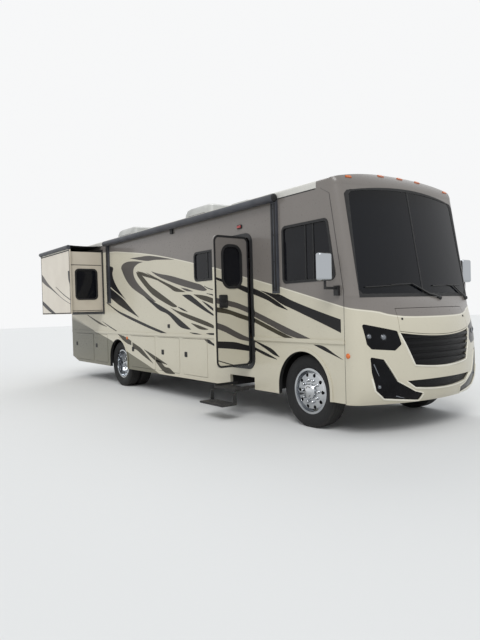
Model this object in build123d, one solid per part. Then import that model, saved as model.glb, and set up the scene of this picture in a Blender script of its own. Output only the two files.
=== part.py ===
from build123d import *
import math
import os

# Motorhome with the coach body over a front-engine truck chassis.
# Millimetres. X runs forward from the front axle, Y to the left (driver's side), Z up from the ground.
# Every node is moved at the end, so that the origin is the bottom centre of the whole model's box.

# Main sizes
WHEELBASE = 5790
HALF_WIDTH = 1220
WALL = 45
REAR_X = -8635
CAP_DEPTH = 135
SKIRT_Z = 400
SIDE_TOP_Z = 3050
ROOF_EDGE_Z = 3140
ROOF_CROWN_Z = 3268
ROOF_THICK = 90
FLOOR_TOP_Z = 1100
FLOOR_THICK = 70
FLOOR_FRONT_GAP = 30
GAP = 6

WALL_REAR_X = REAR_X + CAP_DEPTH
INNER_HALF = HALF_WIDTH - WALL
FLOOR_BOTTOM_Z = FLOOR_TOP_Z - FLOOR_THICK
RIGHT = -1
LEFT = 1

# Seam between the side walls and the front cap, vertical below and raked with the windshield above
SEAM_X = 725
SEAM_KNEE_Z = 1750
SEAM_TOP_X = 525
SEAM_TOP_Z = 2950
SEAM_END_X = 370
ROOF_FRONT_X = 300

# Front cap: sections (z, nose_x, bow_radius, corner_radius), from the sill to the windshield's base,
# then up the windshield, then over the brow
SILL_Z = 390
COWL_Z = 1690
BROW_Z = 3050
LOWER_SECTIONS = [
    (SILL_Z, 1185, 2300, 240),
    (520, 1245, 2300, 240),
    (900, 1265, 2300, 240),
    (1250, 1235, 2300, 240),
    (1500, 1140, 2600, 220),
    (COWL_Z, 960, 6500, 160),
]
SCREEN_SECTIONS = [
    (COWL_Z, 960, 6500, 160),
    (BROW_Z, 730, 6500, 160),
]
BROW_SECTIONS = [
    (BROW_Z, 730, 6500, 160),
    (3150, 700, 6500, 160),
    (3230, 620, 6500, 160),
    (3300, 450, 6500, 160),
]
CAP_WALL = 35
CAP_BACK_X = 100

# Windshield and its centre post
SCREEN_BOTTOM_Z = 1700
SCREEN_BOTTOM_HALF = 1105
SCREEN_TOP_HALF = 1045
SCREEN_SIDE_TOP_Z = 2990
SCREEN_CROWN_Z = 3045
SCREEN_POST = 24
GLASS = 6
GLASS_INSET = 4

# Wheels
TYRE_R = 472
TYRE_W = 235
RIM_R = 286
FLANGE_R = 300
RIM_W = 172
FLANGE_T = 8
BARREL_T = 14
SHOULDER_DROP = 24
SHOULDER_IN = 8
TREAD_INSET = 26
DISC_T = 14
FRONT_DISC_Y = 40
FRONT_DISH = 36
REAR_DISC_Y = 50
HUB_R = 90
HUB_OUT = 24
HUB_IN = 56
DRUM_R = 140
HAND_HOLES = 10
HAND_HOLE_R = 24
HAND_HOLE_AT = 215
WHEEL_Y = 1035
DUAL_SPACING = 265
KINGPIN_Y = 885
AXLE_Z = TYRE_R

# Wheel arches (centre x, half width, top z)
FRONT_ARCH = (-15, 485, 1000)
REAR_ARCH = (-WHEELBASE + 20, 430, 1000)
ARCH_LIP = 42
ARCH_LIP_OUT = 12

# Rub rail along each side
RAIL_Z = 1140
RAIL_H = 48
RAIL_OUT = 18

# Entry door: opening in the right wall, hinged at its front edge and standing open
DOOR_HINGE_X = -1090
DOOR_W = 628
DOOR_BOTTOM_Z = 755
DOOR_TOP_Z = 2605
DOOR_THICK = 40
DOOR_CORNER_R = 90
DOOR_OPEN_DEG = 94
HINGE_OUT = 20
DOOR_FACE_Y = HALF_WIDTH + 5
FRAME_RING = 60
DOOR_WINDOW = (154, 478, 1885, 2460)
DOOR_WINDOW_R = 120
DOOR_HANDLE = (80, 215, 1595, 1770)

# Step well inside the doorway and the folding step below it
WELL_DEPTH = 400
WELL_Z = 740
WELL_SHEET = 20
WELL_TREAD = 25
STEP_X0 = -1660
STEP_X1 = -1060
STEP_UPPER_Z = 430
STEP_LOWER_Z = 235
STEP_TREAD = 250
STEP_OUT = 330
STEP_RUN = 240
STEP_THICK = 28
STEP_HOUSING_Z = 575
STEP_LIFT = STEP_UPPER_Z - STEP_THICK - 5 - STEP_LOWER_Z

# Slide-out room at the rear of the right side
SLIDE_X0 = -8420
SLIDE_X1 = -6520
SLIDE_Z0 = 1600
SLIDE_Z1 = 2905
SLIDE_OUT = 746
SLIDE_WALL = 40
SLIDE_LIP = 40
SLIDE_LIP_THICK = 30
SLIDE_INSIDE = 70
SLIDE_WINDOW = (140, 610, 1880, 2520)
SLIDE_WINDOW_R = 70
TOPPER_R = 42

# Side windows: (name, side, x0, x1, z0, z1)
SIDE_WINDOWS = [
    ("galley", RIGHT, -2620, -1850, 2055, 2515),
    ("dinette", LEFT, -3700, -2300, 1850, 2515),
    ("lounge", LEFT, -5500, -4300, 1850, 2515),
    ("bedroom", LEFT, -8000, -7150, 1950, 2515),
]
SIDE_WINDOW_R = 70
CAB_WINDOW = (-360, 1905, 2645)
CAB_WINDOW_BACK = 100

# Baggage doors: (name, side, rear x, front x)
BAY_Z0 = 470
BAY_Z1 = 1085
BAYS = [
    ("baggage_right_1", RIGHT, -8300, -7150),
    ("baggage_right_2", RIGHT, -7060, -6340),
    ("baggage_right_3", RIGHT, -5150, -4110),
    ("baggage_right_4", RIGHT, -4000, -3200),
    ("baggage_right_5", RIGHT, -3080, -2300),
    ("baggage_left_1", LEFT, -7900, -6500),
    ("baggage_left_2", LEFT, -5150, -3900),
    ("baggage_left_3", LEFT, -3750, -2400),
]
BAY_DOOR_THICK = 35
BAY_CORNER_R = 30
# Baggage compartments: (side, rear x, front x)
TRAYS = [
    (RIGHT, -8350, -6300),
    (RIGHT, -5200, -2250),
    (LEFT, -7950, -6450),
    (LEFT, -5200, -2350),
]
TRAY_T = 15
TRAY_INNER_Y = 480

# Awning along the right side
AWNING_X0 = -6200
AWNING_X1 = -440
AWNING_Z = 3055
AWNING_R = 55
AWNING_ARM_W = 115
AWNING_ARM_T = 40
AWNING_ARM_Z = 1770

# Chassis
FRAME_HALF = 432
FRAME_TOP_Z = 850
FRAME_H = 230
FRAME_FLANGE = 75
FRAME_T = 9
FRAME_FRONT_X = 950
FRAME_REAR_X = -8500
CROSS_X = [820, -1150, -2100, -3400, -4700, -6880, -8300]
OUTRIGGER_X = [-900, -2230, -3600, -5220, -6310, -8380]
CROSS_W = 80
CROSS_H = 110
CROSS_DROP = 20
OUTRIGGER_W = 60
OUTRIGGER_GAP = 15

FRONT_SPRING = 650
REAR_SPRING = 760
SPRING_Y0 = 350
SPRING_Y1 = 425
FRONT_LEAF = 50
REAR_LEAF = 60
SPRING_HANGER = 70
REAR_TUBE_R = 70
DIFFERENTIAL_R = 210
SHAFT_R = 45
ENGINE_X0 = -500
ENGINE_X1 = 350
ENGINE_HALF = 310
ENGINE_Z0 = 560
ENGINE_Z1 = 1020
GEARBOX_X = -1010
PIPE_R = 38
PIPE_Y = 270

# Front axle ends: kingpin boss, steering knuckle and tie rod
KINGPIN_R = 22
PIN_GAP = 0.05
BOSS_R = 45
BOSS_Z = AXLE_Z
BOSS_H = 76
BEAM_Z = 340
EAR_H = 30
EAR_GAP = 3
BEAM_W = 60
BEAM_H = 80
RISER_W = 56
RISER_LEN = 50
RISER_GAP = 14
ARM_W = 36
ARM_T = 24
ARM_LENGTH = 240
TIE_ROD_R = 17
SPINDLE_R = 40
HUB_INNER = FRONT_DISC_Y + FRONT_DISH - HUB_IN
SPINDLE_GAP = 1
REAR_HUB_Y = WHEEL_Y - DUAL_SPACING + REAR_DISC_Y + DISC_T - HUB_IN

# Rear bumper and its square towing receiver
BUMPER_Z = 515
RECEIVER = 51
RECEIVER_WALL = 13
RECEIVER_PIN_R = 8.2
RECEIVER_PIN_X = 65

# Cab
STEERING_WHEEL_AT = (120, 620, 1860)
STEERING_TILT_DEG = 38

# Front hatch and the openings below it, as half outlines on the cap
HATCH_TOP_Z = 1523
HATCH_HALF = 672
HATCH_SIDE_Z = 1258
HATCH_CENTRE_Z = 1200
GRILLE_TOP_HALF = 700
GRILLE_TOP_Z = 1236
GRILLE_TOP_CENTRE_Z = 1180
GRILLE_BOTTOM_HALF = 522
GRILLE_BOTTOM_Z = 850
GRILLE_BOTTOM_CENTRE_Z = 815
INTAKE_TOP_HALF = 640
INTAKE_TOP_Z = 662
INTAKE_BOTTOM_HALF = 520
INTAKE_BOTTOM_Z = 580
INTAKE_CENTRE_Z = 545
LAMP_OUTLINE = [(1131, 1357), (735, 1260), (698, 1100), (786, 1030), (1062, 1056), (1108, 1116)]
POD_OUTLINE = [(1082, 966), (930, 932), (766, 660), (520, 528), (385, 492), (420, 410), (905, 466), (1018, 568),
               (1072, 780)]


# Shared shapes

def box(x0, x1, y0, y1, z0, z1):
    """A box between two corners."""
    return Pos((x0 + x1) / 2, (y0 + y1) / 2, (z0 + z1) / 2) * Box(x1 - x0, abs(y1 - y0), z1 - z0)


def side_prism(face, y0, y1):
    """Extrude an outline drawn in X and Z from y0 to y1."""
    low = min(y0, y1)
    plane = Plane(origin=(0, low, 0), x_dir=(1, 0, 0), z_dir=(0, -1, 0))
    return extrude(plane * face, amount=-abs(y1 - y0))


def front_prism(face, x0, x1):
    """Extrude an outline drawn in Y and Z from x0 to x1."""
    plane = Plane(origin=(x0, 0, 0), x_dir=(0, 1, 0), z_dir=(1, 0, 0))
    return extrude(plane * face, amount=x1 - x0)


def polygon(points, radius=0):
    """A closed outline through points, with every corner rounded alike."""
    face = make_face(Polyline(*points, close=True))
    if radius:
        face = fillet(face.vertices(), radius)
    return face


def rounded(x0, x1, z0, z1, radius):
    """A rectangle between two corners, with rounded corners."""
    return polygon([(x0, z0), (x1, z0), (x1, z1), (x0, z1)], radius)


def body_profile(inset=0, x0=CAP_BACK_X - 400, x1=1500, bottom=SILL_Z - 300):
    """The coach's cross section, crowned at the roof, as a prism along X."""
    half = HALF_WIDTH - inset
    edge = ROOF_EDGE_Z - inset
    crown = ROOF_CROWN_Z - inset
    outline = [
        Line((-half, bottom), (half, bottom)),
        Line((half, bottom), (half, edge)),
        ThreePointArc((half, edge), (0, crown), (-half, edge)),
        Line((-half, edge), (-half, bottom)),
    ]
    face = make_face(outline)
    face = fillet(face.vertices().sort_by(Axis.Y)[-2:], 40 if inset == 0 else 12)
    return front_prism(face, x0, x1)


def seam_line(offset=0):
    """Outline in X and Z of all that lies behind the front cap's seam."""
    points = [
        (-9500, -200), (SEAM_X + offset, -200), (SEAM_X + offset, SEAM_KNEE_Z), (SEAM_TOP_X + offset, SEAM_TOP_Z),
        (SEAM_END_X + offset, SIDE_TOP_Z), (-9500, SIDE_TOP_Z),
    ]
    return make_face(Polyline(*points, close=True))


# Front cap

def cap_section(z, nose_x, bow_radius, corner_radius, inset):
    """One level section of the front cap: straight sides, rounded corners and a bowed front."""
    half = HALF_WIDTH - inset
    nose = nose_x - inset
    bow = bow_radius - inset
    corner_x = nose - (bow - math.sqrt(bow ** 2 - half ** 2))
    outline = [
        Line((CAP_BACK_X, -half), (corner_x, -half)),
        ThreePointArc((corner_x, -half), (nose, 0), (corner_x, half)),
        Line((corner_x, half), (CAP_BACK_X, half)),
        Line((CAP_BACK_X, half), (CAP_BACK_X, -half)),
    ]
    face = make_face(outline)
    face = fillet(face.vertices().sort_by(Axis.X)[-2:], corner_radius - inset)
    return Pos(0, 0, z) * face


def cap_solid(inset):
    """The front cap as a solid, drawn in by inset."""
    lower = loft([cap_section(*row, inset) for row in LOWER_SECTIONS])
    screen = loft([cap_section(*row, inset) for row in SCREEN_SECTIONS], ruled=True)
    brow = loft([cap_section(*row, inset) for row in BROW_SECTIONS])
    return (lower + screen + brow) & body_profile(inset)


CAP_OUTER = cap_solid(0)
CAP_INNER = cap_solid(CAP_WALL)
CAP_SHELL = CAP_OUTER - CAP_INNER


def screen_outline():
    """Half windshield, as an outline in Y and Z for the left side."""
    points = [
        (SCREEN_POST / 2, SCREEN_BOTTOM_Z), (SCREEN_BOTTOM_HALF, SCREEN_BOTTOM_Z),
        (SCREEN_TOP_HALF, SCREEN_SIDE_TOP_Z), (SCREEN_POST / 2, SCREEN_CROWN_Z),
    ]
    face = make_face(Polyline(*points, close=True))
    return fillet(face.vertices().sort_by(Axis.X)[-2:], 60)


def both_sides(solid):
    """A solid and its mirror image across the centreline."""
    return solid + mirror(solid, about=Plane.XZ)


def arc_band(half_low, z_low, z_low_mid, half_high, z_high, z_high_mid):
    """A closed outline with bowed bottom and top edges, drawn in Y and Z."""
    outline = [
        ThreePointArc((-half_low, z_low), (0, z_low_mid), (half_low, z_low)),
        Line((half_low, z_low), (half_high, z_high)),
        ThreePointArc((half_high, z_high), (0, z_high_mid), (-half_high, z_high)),
        Line((-half_high, z_high), (-half_low, z_low)),
    ]
    return make_face(outline)


def skin(prism, outer_inset, inner_inset):
    """The part of a prism that lies between two depths under the cap's surface."""
    return (prism & cap_solid(outer_inset)) - cap_solid(inner_inset)


HATCH_FACE = arc_band(HATCH_HALF + 25, HATCH_SIDE_Z, HATCH_CENTRE_Z, HATCH_HALF, HATCH_TOP_Z, HATCH_TOP_Z + 2)
GRILLE_FACE = arc_band(GRILLE_BOTTOM_HALF, GRILLE_BOTTOM_Z, GRILLE_BOTTOM_CENTRE_Z,
                       GRILLE_TOP_HALF, GRILLE_TOP_Z, GRILLE_TOP_CENTRE_Z)
INTAKE_FACE = arc_band(INTAKE_BOTTOM_HALF, INTAKE_BOTTOM_Z, INTAKE_CENTRE_Z,
                       INTAKE_TOP_HALF, INTAKE_TOP_Z, INTAKE_TOP_Z + 2)
PRISM_X0 = 560
PRISM_X1 = 1500
SCREEN_PRISM = both_sides(front_prism(screen_outline(), PRISM_X0 - 200, PRISM_X1))
HATCH_PRISM = front_prism(HATCH_FACE, 800, PRISM_X1)
GRILLE_PRISM = front_prism(GRILLE_FACE, 800, PRISM_X1)
INTAKE_PRISM = front_prism(INTAKE_FACE, 800, PRISM_X1)
LAMP_PRISM = both_sides(front_prism(polygon(LAMP_OUTLINE, 22), 700, PRISM_X1))
POD_PRISM = both_sides(front_prism(polygon(POD_OUTLINE, 18), 700, PRISM_X1))


def make_front_cap():
    """The moulded front: a shell cut at the seam, with its screen, hatch, grilles and lamps open."""
    shell = CAP_SHELL - side_prism(seam_line(), -1400, 1400)
    shell -= box(-400, ROOF_FRONT_X, -1400, 1400, SIDE_TOP_Z - 1, 3500)
    hatch_hole = front_prism(offset(HATCH_FACE, amount=GAP), 800, PRISM_X1)
    for hole in (SCREEN_PRISM, hatch_hole, GRILLE_PRISM, INTAKE_PRISM, LAMP_PRISM, POD_PRISM):
        shell -= hole
    return shell


def make_windshield():
    return skin(SCREEN_PRISM, GLASS_INSET, GLASS_INSET + GLASS)


def make_front_hatch():
    return skin(HATCH_PRISM, 0, CAP_WALL - 8)


def make_front_grilles():
    """Main grille and lower intake, each a recessed panel with bars across it."""
    panels = skin(GRILLE_PRISM, 22, CAP_WALL) + skin(INTAKE_PRISM, 22, CAP_WALL)
    bars = skin(GRILLE_PRISM, 0, 23) & grille_bars()
    return panels + bars


def grille_bars():
    """Level slabs that cut the grille's bars out of its skin."""
    bars = []
    pitch = 74
    for k in range(5):
        z = GRILLE_BOTTOM_Z + 20 + pitch * k
        bars.append(box(800, PRISM_X1, -GRILLE_TOP_HALF, GRILLE_TOP_HALF, z, z + 34))
    result = bars[0]
    for bar in bars[1:]:
        result += bar
    return result


def make_headlamps():
    return skin(LAMP_PRISM, 2, CAP_WALL)


def make_lower_pods():
    return skin(POD_PRISM, 8, CAP_WALL)


# Side walls, roof, rear cap and floor

def arch_face(arch, grow=0):
    """A wheel arch, straight-legged below and round above."""
    centre, half, top = arch
    radius = half + grow
    spring = top - half
    outline = [
        Line((centre - radius, 0), (centre - radius, spring)),
        ThreePointArc((centre - radius, spring), (centre, spring + radius), (centre + radius, spring)),
        Line((centre + radius, spring), (centre + radius, 0)),
        Line((centre + radius, 0), (centre - radius, 0)),
    ]
    return make_face(outline)


SKIRT_RISE_X = -8136
SKIRT_REAR_Z = 535


def wall_face():
    """Outline of a side wall, with its sill rising behind the rear wheel."""
    points = [
        (WALL_REAR_X, SKIRT_Z + (SKIRT_REAR_Z - SKIRT_Z) * (WALL_REAR_X - SKIRT_RISE_X) / (REAR_X - SKIRT_RISE_X)),
        (SKIRT_RISE_X, SKIRT_Z), (SEAM_X, SKIRT_Z), (SEAM_X, SEAM_KNEE_Z), (SEAM_TOP_X, SEAM_TOP_Z),
        (SEAM_END_X, SIDE_TOP_Z), (WALL_REAR_X, SIDE_TOP_Z),
    ]
    return make_face(Polyline(*points, close=True))


def seam_at(z):
    """The seam's x at a height on its raked part."""
    share = (z - SEAM_KNEE_Z) / (SEAM_TOP_Z - SEAM_KNEE_Z)
    return SEAM_X + (SEAM_TOP_X - SEAM_X) * share


def cab_window_face():
    """The cab's side window, its front edge parallel to the raked seam."""
    x0, z0, z1 = CAB_WINDOW
    points = [
        (x0, z0), (seam_at(z0) - CAB_WINDOW_BACK, z0), (seam_at(z1) - CAB_WINDOW_BACK, z1), (x0, z1),
    ]
    return polygon(points, 60)


def side_windows(side):
    """Every window outline on one side."""
    faces = [cab_window_face()]
    for name, at, x0, x1, z0, z1 in SIDE_WINDOWS:
        if at == side:
            faces.append(rounded(x0, x1, z0, z1, SIDE_WINDOW_R))
    return faces


def door_face(grow=0):
    """The entry door's outline, closed, drawn in X and Z."""
    x1 = DOOR_HINGE_X + grow
    x0 = DOOR_HINGE_X - DOOR_W - grow
    return rounded(x0, x1, DOOR_BOTTOM_Z - grow, DOOR_TOP_Z + grow, DOOR_CORNER_R + grow)


def make_wall(side):
    """A side wall with its arches, windows, doorways and rub rail."""
    outer = side * HALF_WIDTH
    inner = side * INNER_HALF
    wall = side_prism(wall_face(), outer, inner)
    wall += box(WALL_REAR_X, SEAM_X, outer, outer + side * RAIL_OUT, RAIL_Z - RAIL_H / 2, RAIL_Z + RAIL_H / 2)
    for arch in (FRONT_ARCH, REAR_ARCH):
        wall += side_prism(arch_face(arch, ARCH_LIP), inner, outer + side * ARCH_LIP_OUT) & side_prism(
            wall_face(), -1300, 1300)
    cuts = [side_prism(arch_face(arch), -1500 * -side, 1000 * side) for arch in (FRONT_ARCH, REAR_ARCH)]
    for face in side_windows(side):
        cuts.append(side_prism(face, 1300 * side, 1100 * side))
    for name, at, x0, x1 in BAYS:
        if at == side:
            cuts.append(side_prism(rounded(x0 - GAP, x1 + GAP, BAY_Z0 - GAP, BAY_Z1 + GAP, BAY_CORNER_R + GAP),
                                   1300 * side, 1100 * side))
    if side == RIGHT:
        cuts.append(side_prism(door_face(GAP), -1300, -1100))
        cuts.append(box(SLIDE_X0 - GAP, SLIDE_X1 + GAP, -1300, -1100, SLIDE_Z0 - GAP, SLIDE_Z1 + GAP))
        cuts.append(box(STEP_X0 - GAP, STEP_X1 + GAP, -1300, -1100, SKIRT_Z - 10, STEP_HOUSING_Z))
        door_x0 = DOOR_HINGE_X - DOOR_W - GAP - FRAME_RING
        cuts.append(box(door_x0, DOOR_HINGE_X + GAP + FRAME_RING, -1300, -HALF_WIDTH, RAIL_Z - 50, RAIL_Z + 50))
    for cut in cuts:
        wall -= cut
    return wall


def make_side_glass():
    """Every window pane in the side walls."""
    panes = None
    for side in (RIGHT, LEFT):
        y0 = side * (HALF_WIDTH - 12)
        y1 = side * (HALF_WIDTH - 12 - GLASS)
        for face in side_windows(side):
            pane = side_prism(face, y0, y1)
            panes = pane if panes is None else panes + pane
    return panes


def make_roof():
    """The crowned roof panel from the rear cap to the front cap."""
    outer = body_profile(0, WALL_REAR_X, ROOF_FRONT_X)
    inner = body_profile(ROOF_THICK, WALL_REAR_X, ROOF_FRONT_X)
    shell = outer - inner
    band = box(WALL_REAR_X, ROOF_FRONT_X, -1300, 1300, SIDE_TOP_Z, 3400)
    return shell & band


def make_rear_cap():
    """The moulded back: a shallow tray with rounded corners."""
    def tray(inset, x0, x1):
        plan = make_face(Polyline((x0 + inset, -HALF_WIDTH + inset), (x1, -HALF_WIDTH + inset),
                                  (x1, HALF_WIDTH - inset), (x0 + inset, HALF_WIDTH - inset), close=True))
        plan = fillet(plan.vertices().sort_by(Axis.X)[:2], 110 - inset)
        return extrude(plan, amount=3500)
    outer = tray(0, REAR_X, WALL_REAR_X) & body_profile(0, REAR_X - 10, WALL_REAR_X)
    inner = tray(WALL, REAR_X, WALL_REAR_X) & body_profile(WALL, REAR_X - 10, WALL_REAR_X)
    outer -= side_prism(make_face(Polyline((REAR_X - 50, 0), (WALL_REAR_X + 50, 0), (WALL_REAR_X + 50, SKIRT_Z),
                                           (SKIRT_RISE_X, SKIRT_Z), (REAR_X, SKIRT_REAR_Z),
                                           (REAR_X - 50, SKIRT_REAR_Z), close=True)), -1300, 1300)
    return outer - inner


def well_box(inset, bottom):
    """The entry well inside the doorway, drawn in by inset at its sides and back."""
    x0 = DOOR_HINGE_X - DOOR_W - WELL_SHEET + inset
    x1 = DOOR_HINGE_X + WELL_SHEET - inset
    y0 = -INNER_HALF - (1 if inset else 0)
    return box(x0, x1, y0, -INNER_HALF + WELL_DEPTH - inset, bottom, FLOOR_TOP_Z + (1 if inset else 0))


def make_floor():
    """The floor deck, notched for the entry well."""
    deck = box(WALL_REAR_X, SEAM_X - FLOOR_FRONT_GAP, -INNER_HALF, INNER_HALF, FLOOR_BOTTOM_Z, FLOOR_TOP_Z)
    return deck - well_box(0, FLOOR_BOTTOM_Z)


def make_entry_well():
    """The tub that holds the inner step, open to the doorway and above."""
    return well_box(0, WELL_Z) - well_box(WELL_SHEET, WELL_Z + WELL_TREAD)


# Chassis

def make_frame_rails():
    """Two channel rails, open towards each other."""
    bottom = FRAME_TOP_Z - FRAME_H
    rail = box(FRAME_REAR_X, FRAME_FRONT_X, FRAME_HALF - FRAME_FLANGE, FRAME_HALF, bottom, FRAME_TOP_Z)
    rail -= box(FRAME_REAR_X - 1, FRAME_FRONT_X + 1, FRAME_HALF - FRAME_FLANGE - 1, FRAME_HALF - FRAME_T,
                bottom + FRAME_T, FRAME_TOP_Z - FRAME_T)
    return both_sides(rail)


def make_cross_members():
    """Cross members between the rails' webs, and outriggers on the rails that carry the floor."""
    members = []
    web = FRAME_HALF - FRAME_T
    for x in CROSS_X:
        members.append(box(x - CROSS_W / 2, x + CROSS_W / 2, -web, web, FRAME_TOP_Z - CROSS_DROP - CROSS_H,
                           FRAME_TOP_Z - CROSS_DROP))
    reach = INNER_HALF - OUTRIGGER_GAP
    for x in OUTRIGGER_X:
        members.append(box(x - OUTRIGGER_W / 2, x + OUTRIGGER_W / 2, -reach, reach, FRAME_TOP_Z, FLOOR_BOTTOM_Z))
    return Compound(children=members)


def make_front_axle():
    """A dropped beam between the kingpin bosses, under two leaf springs."""
    riser_y = KINGPIN_Y - BOSS_R - RISER_GAP
    top = BEAM_Z + BEAM_H
    beam = box(-BEAM_W / 2, BEAM_W / 2, -riser_y, riser_y, BEAM_Z, top)
    end = box(-RISER_W / 2, RISER_W / 2, riser_y - RISER_LEN, riser_y, BEAM_Z, BOSS_Z + BOSS_H / 2)
    end += box(-RISER_W / 2, RISER_W / 2, riser_y - 1, KINGPIN_Y, BOSS_Z - BOSS_H / 2, BOSS_Z + BOSS_H / 2)
    end += Pos(0, KINGPIN_Y, BOSS_Z) * Cylinder(BOSS_R, BOSS_H)
    end -= Pos(0, KINGPIN_Y, BOSS_Z) * Cylinder(KINGPIN_R + PIN_GAP, BOSS_H + 20)
    spring = box(-FRONT_SPRING, FRONT_SPRING, SPRING_Y0, SPRING_Y1, top - 1, top + FRONT_LEAF)
    for x in (-FRONT_SPRING, FRONT_SPRING - SPRING_HANGER):
        spring += box(x, x + SPRING_HANGER, SPRING_Y0, SPRING_Y1, top + FRONT_LEAF - 1, FRAME_TOP_Z - FRAME_H)
    return beam + both_sides(end + spring)


def make_rear_axle():
    """A tube axle with its differential, springs and drive shaft."""
    tube = Pos(-WHEELBASE, 0, AXLE_Z) * Rot(90, 0, 0) * Cylinder(REAR_TUBE_R, 2 * (REAR_HUB_Y - SPINDLE_GAP))
    tube += Pos(-WHEELBASE, 0, AXLE_Z) * Sphere(DIFFERENTIAL_R)
    low = AXLE_Z + REAR_TUBE_R - 15
    high = low + REAR_LEAF
    spring = box(-WHEELBASE - REAR_SPRING, -WHEELBASE + REAR_SPRING, SPRING_Y0, SPRING_Y1, low, high)
    for x in (-WHEELBASE - REAR_SPRING, -WHEELBASE + REAR_SPRING - SPRING_HANGER):
        spring += box(x, x + SPRING_HANGER, SPRING_Y0, SPRING_Y1, high - 1, FRAME_TOP_Z - FRAME_H)
    tube += both_sides(spring)
    shaft_start = Vector(GEARBOX_X - 4, 0, 640)
    shaft_end = Vector(-WHEELBASE + 150, 0, AXLE_Z + 20)
    along = shaft_end - shaft_start
    plane = Plane(origin=shaft_start, z_dir=along)
    tube += extrude(plane * Circle(SHAFT_R), amount=along.length)
    return tube


def make_engine_block():
    block = box(ENGINE_X0, ENGINE_X1, -ENGINE_HALF, ENGINE_HALF, ENGINE_Z0, ENGINE_Z1)
    return block + box(GEARBOX_X, ENGINE_X0, -200, 200, ENGINE_Z0, 800)


def make_fuel_tank():
    top = FRAME_TOP_Z - FRAME_H
    return fillet(box(-7650, -6950, -FRAME_HALF, 150, 430, top).edges().filter_by(Axis.Y), 40)


def make_exhaust():
    """A pipe with its muffler, raised over the rear axle and open at the back."""
    low = ENGINE_Z0 - PIPE_R
    high = 680
    over = WHEELBASE - 600
    route = [
        (ENGINE_X0 + 50, PIPE_Y, low), (-over + 400, PIPE_Y, low), (-over, PIPE_Y, high),
        (-over - 1200, PIPE_Y, high), (-over - 1600, PIPE_Y, low), (REAR_X + 120, PIPE_Y, low),
    ]
    path = FilletPolyline(*route, radius=200)
    pipe = sweep(Plane(origin=path @ 0, z_dir=path % 0) * Circle(PIPE_R), path=path)
    return pipe + Pos(-3300, PIPE_Y - 20, low - 10) * Rot(0, 90, 0) * Cylinder(95, 900)


def make_baggage_bays():
    """Compartments hung under the floor behind the baggage doors, open to the side."""
    trays = None
    for side, x0, x1 in TRAYS:
        y0 = side * TRAY_INNER_Y
        y1 = side * (INNER_HALF - 1)
        tray = box(x0, x1, y0, y1, SKIRT_Z + 50, FRAME_TOP_Z - 6)
        tray -= box(x0 + TRAY_T, x1 - TRAY_T, y0 + side * TRAY_T, y1 + side * 10, SKIRT_Z + 50 + TRAY_T, 900)
        trays = tray if trays is None else trays + tray
    return trays


# Wheels and steering

def tyre():
    """A tyre about the Y axis: a rounded tread band, bulged sidewalls and beads on the rim."""
    half = TYRE_W / 2
    bead = RIM_W / 2 - FLANGE_T
    shoulder = TYRE_R - SHOULDER_DROP
    waist = (FLANGE_R + shoulder) / 2
    outline = [
        Line((RIM_R, -bead), (FLANGE_R + 2, -bead)),
        ThreePointArc((FLANGE_R + 2, -bead), (waist, -half), (shoulder, -half + SHOULDER_IN)),
        Line((shoulder, -half + SHOULDER_IN), (TYRE_R, -half + TREAD_INSET)),
        Line((TYRE_R, -half + TREAD_INSET), (TYRE_R, half - TREAD_INSET)),
        Line((TYRE_R, half - TREAD_INSET), (shoulder, half - SHOULDER_IN)),
        ThreePointArc((shoulder, half - SHOULDER_IN), (waist, half), (FLANGE_R + 2, bead)),
        Line((FLANGE_R + 2, bead), (RIM_R, bead)),
        Line((RIM_R, bead), (RIM_R, -bead)),
    ]
    return revolve(make_face(outline), Axis.Y)


def rim(disc_y, dish):
    """A disc wheel about the Y axis, its outer side towards -Y: flanged barrel, dished disc with hand holes, hub.

    The disc meets the barrel at disc_y, and dish is how far its middle stands out from there."""
    half = RIM_W / 2
    inside = RIM_R - BARREL_T
    hub_y = disc_y - dish
    points = [
        (0, hub_y - HUB_OUT), (HUB_R, hub_y - HUB_OUT), (HUB_R, hub_y), (inside - 40, hub_y + dish / 4),
        (inside, disc_y), (inside, -half), (FLANGE_R, -half), (FLANGE_R, -half + FLANGE_T), (RIM_R, -half + FLANGE_T),
        (RIM_R, half - FLANGE_T), (FLANGE_R, half - FLANGE_T), (FLANGE_R, half), (inside, half),
        (inside, disc_y + DISC_T), (inside - 40, hub_y + dish / 4 + DISC_T), (HUB_R, hub_y + HUB_IN), (0, hub_y + HUB_IN),
    ]
    wheel = revolve(make_face(Polyline(*points, close=True)), Axis.Y)
    hole = Rot(90, 0, 0) * Cylinder(HAND_HOLE_R, 400)
    for k in range(HAND_HOLES):
        wheel -= Rot(0, 360 * k / HAND_HOLES, 0) * Pos(HAND_HOLE_AT, 0, 0) * hole
    return wheel


def front_wheel(side):
    """Tyre and rim of a front wheel, in place."""
    turn = Rot(0, 0, 0) if side == RIGHT else Rot(0, 0, 180)
    place = Pos(0, side * WHEEL_Y, AXLE_Z)
    return place * turn * tyre(), place * turn * rim(-FRONT_DISC_Y, FRONT_DISH)


def rear_wheel(side):
    """Tyres and rims of a rear dual wheel, in place."""
    turn = Rot(0, 0, 0) if side == RIGHT else Rot(0, 0, 180)
    outer = Pos(-WHEELBASE, side * WHEEL_Y, AXLE_Z) * turn
    inner = Pos(-WHEELBASE, side * (WHEEL_Y - DUAL_SPACING), AXLE_Z) * turn
    tyres = outer * tyre() + inner * tyre()
    rims = outer * rim(REAR_DISC_Y, 0) + inner * rim(-REAR_DISC_Y - DISC_T, 0)
    joiner = Pos(-WHEELBASE, side * (WHEEL_Y - DUAL_SPACING / 2), AXLE_Z) * Rot(90, 0, 0) * Cylinder(
        DRUM_R, DUAL_SPACING - 2 * REAR_DISC_Y)
    return tyres, rims + joiner


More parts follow.
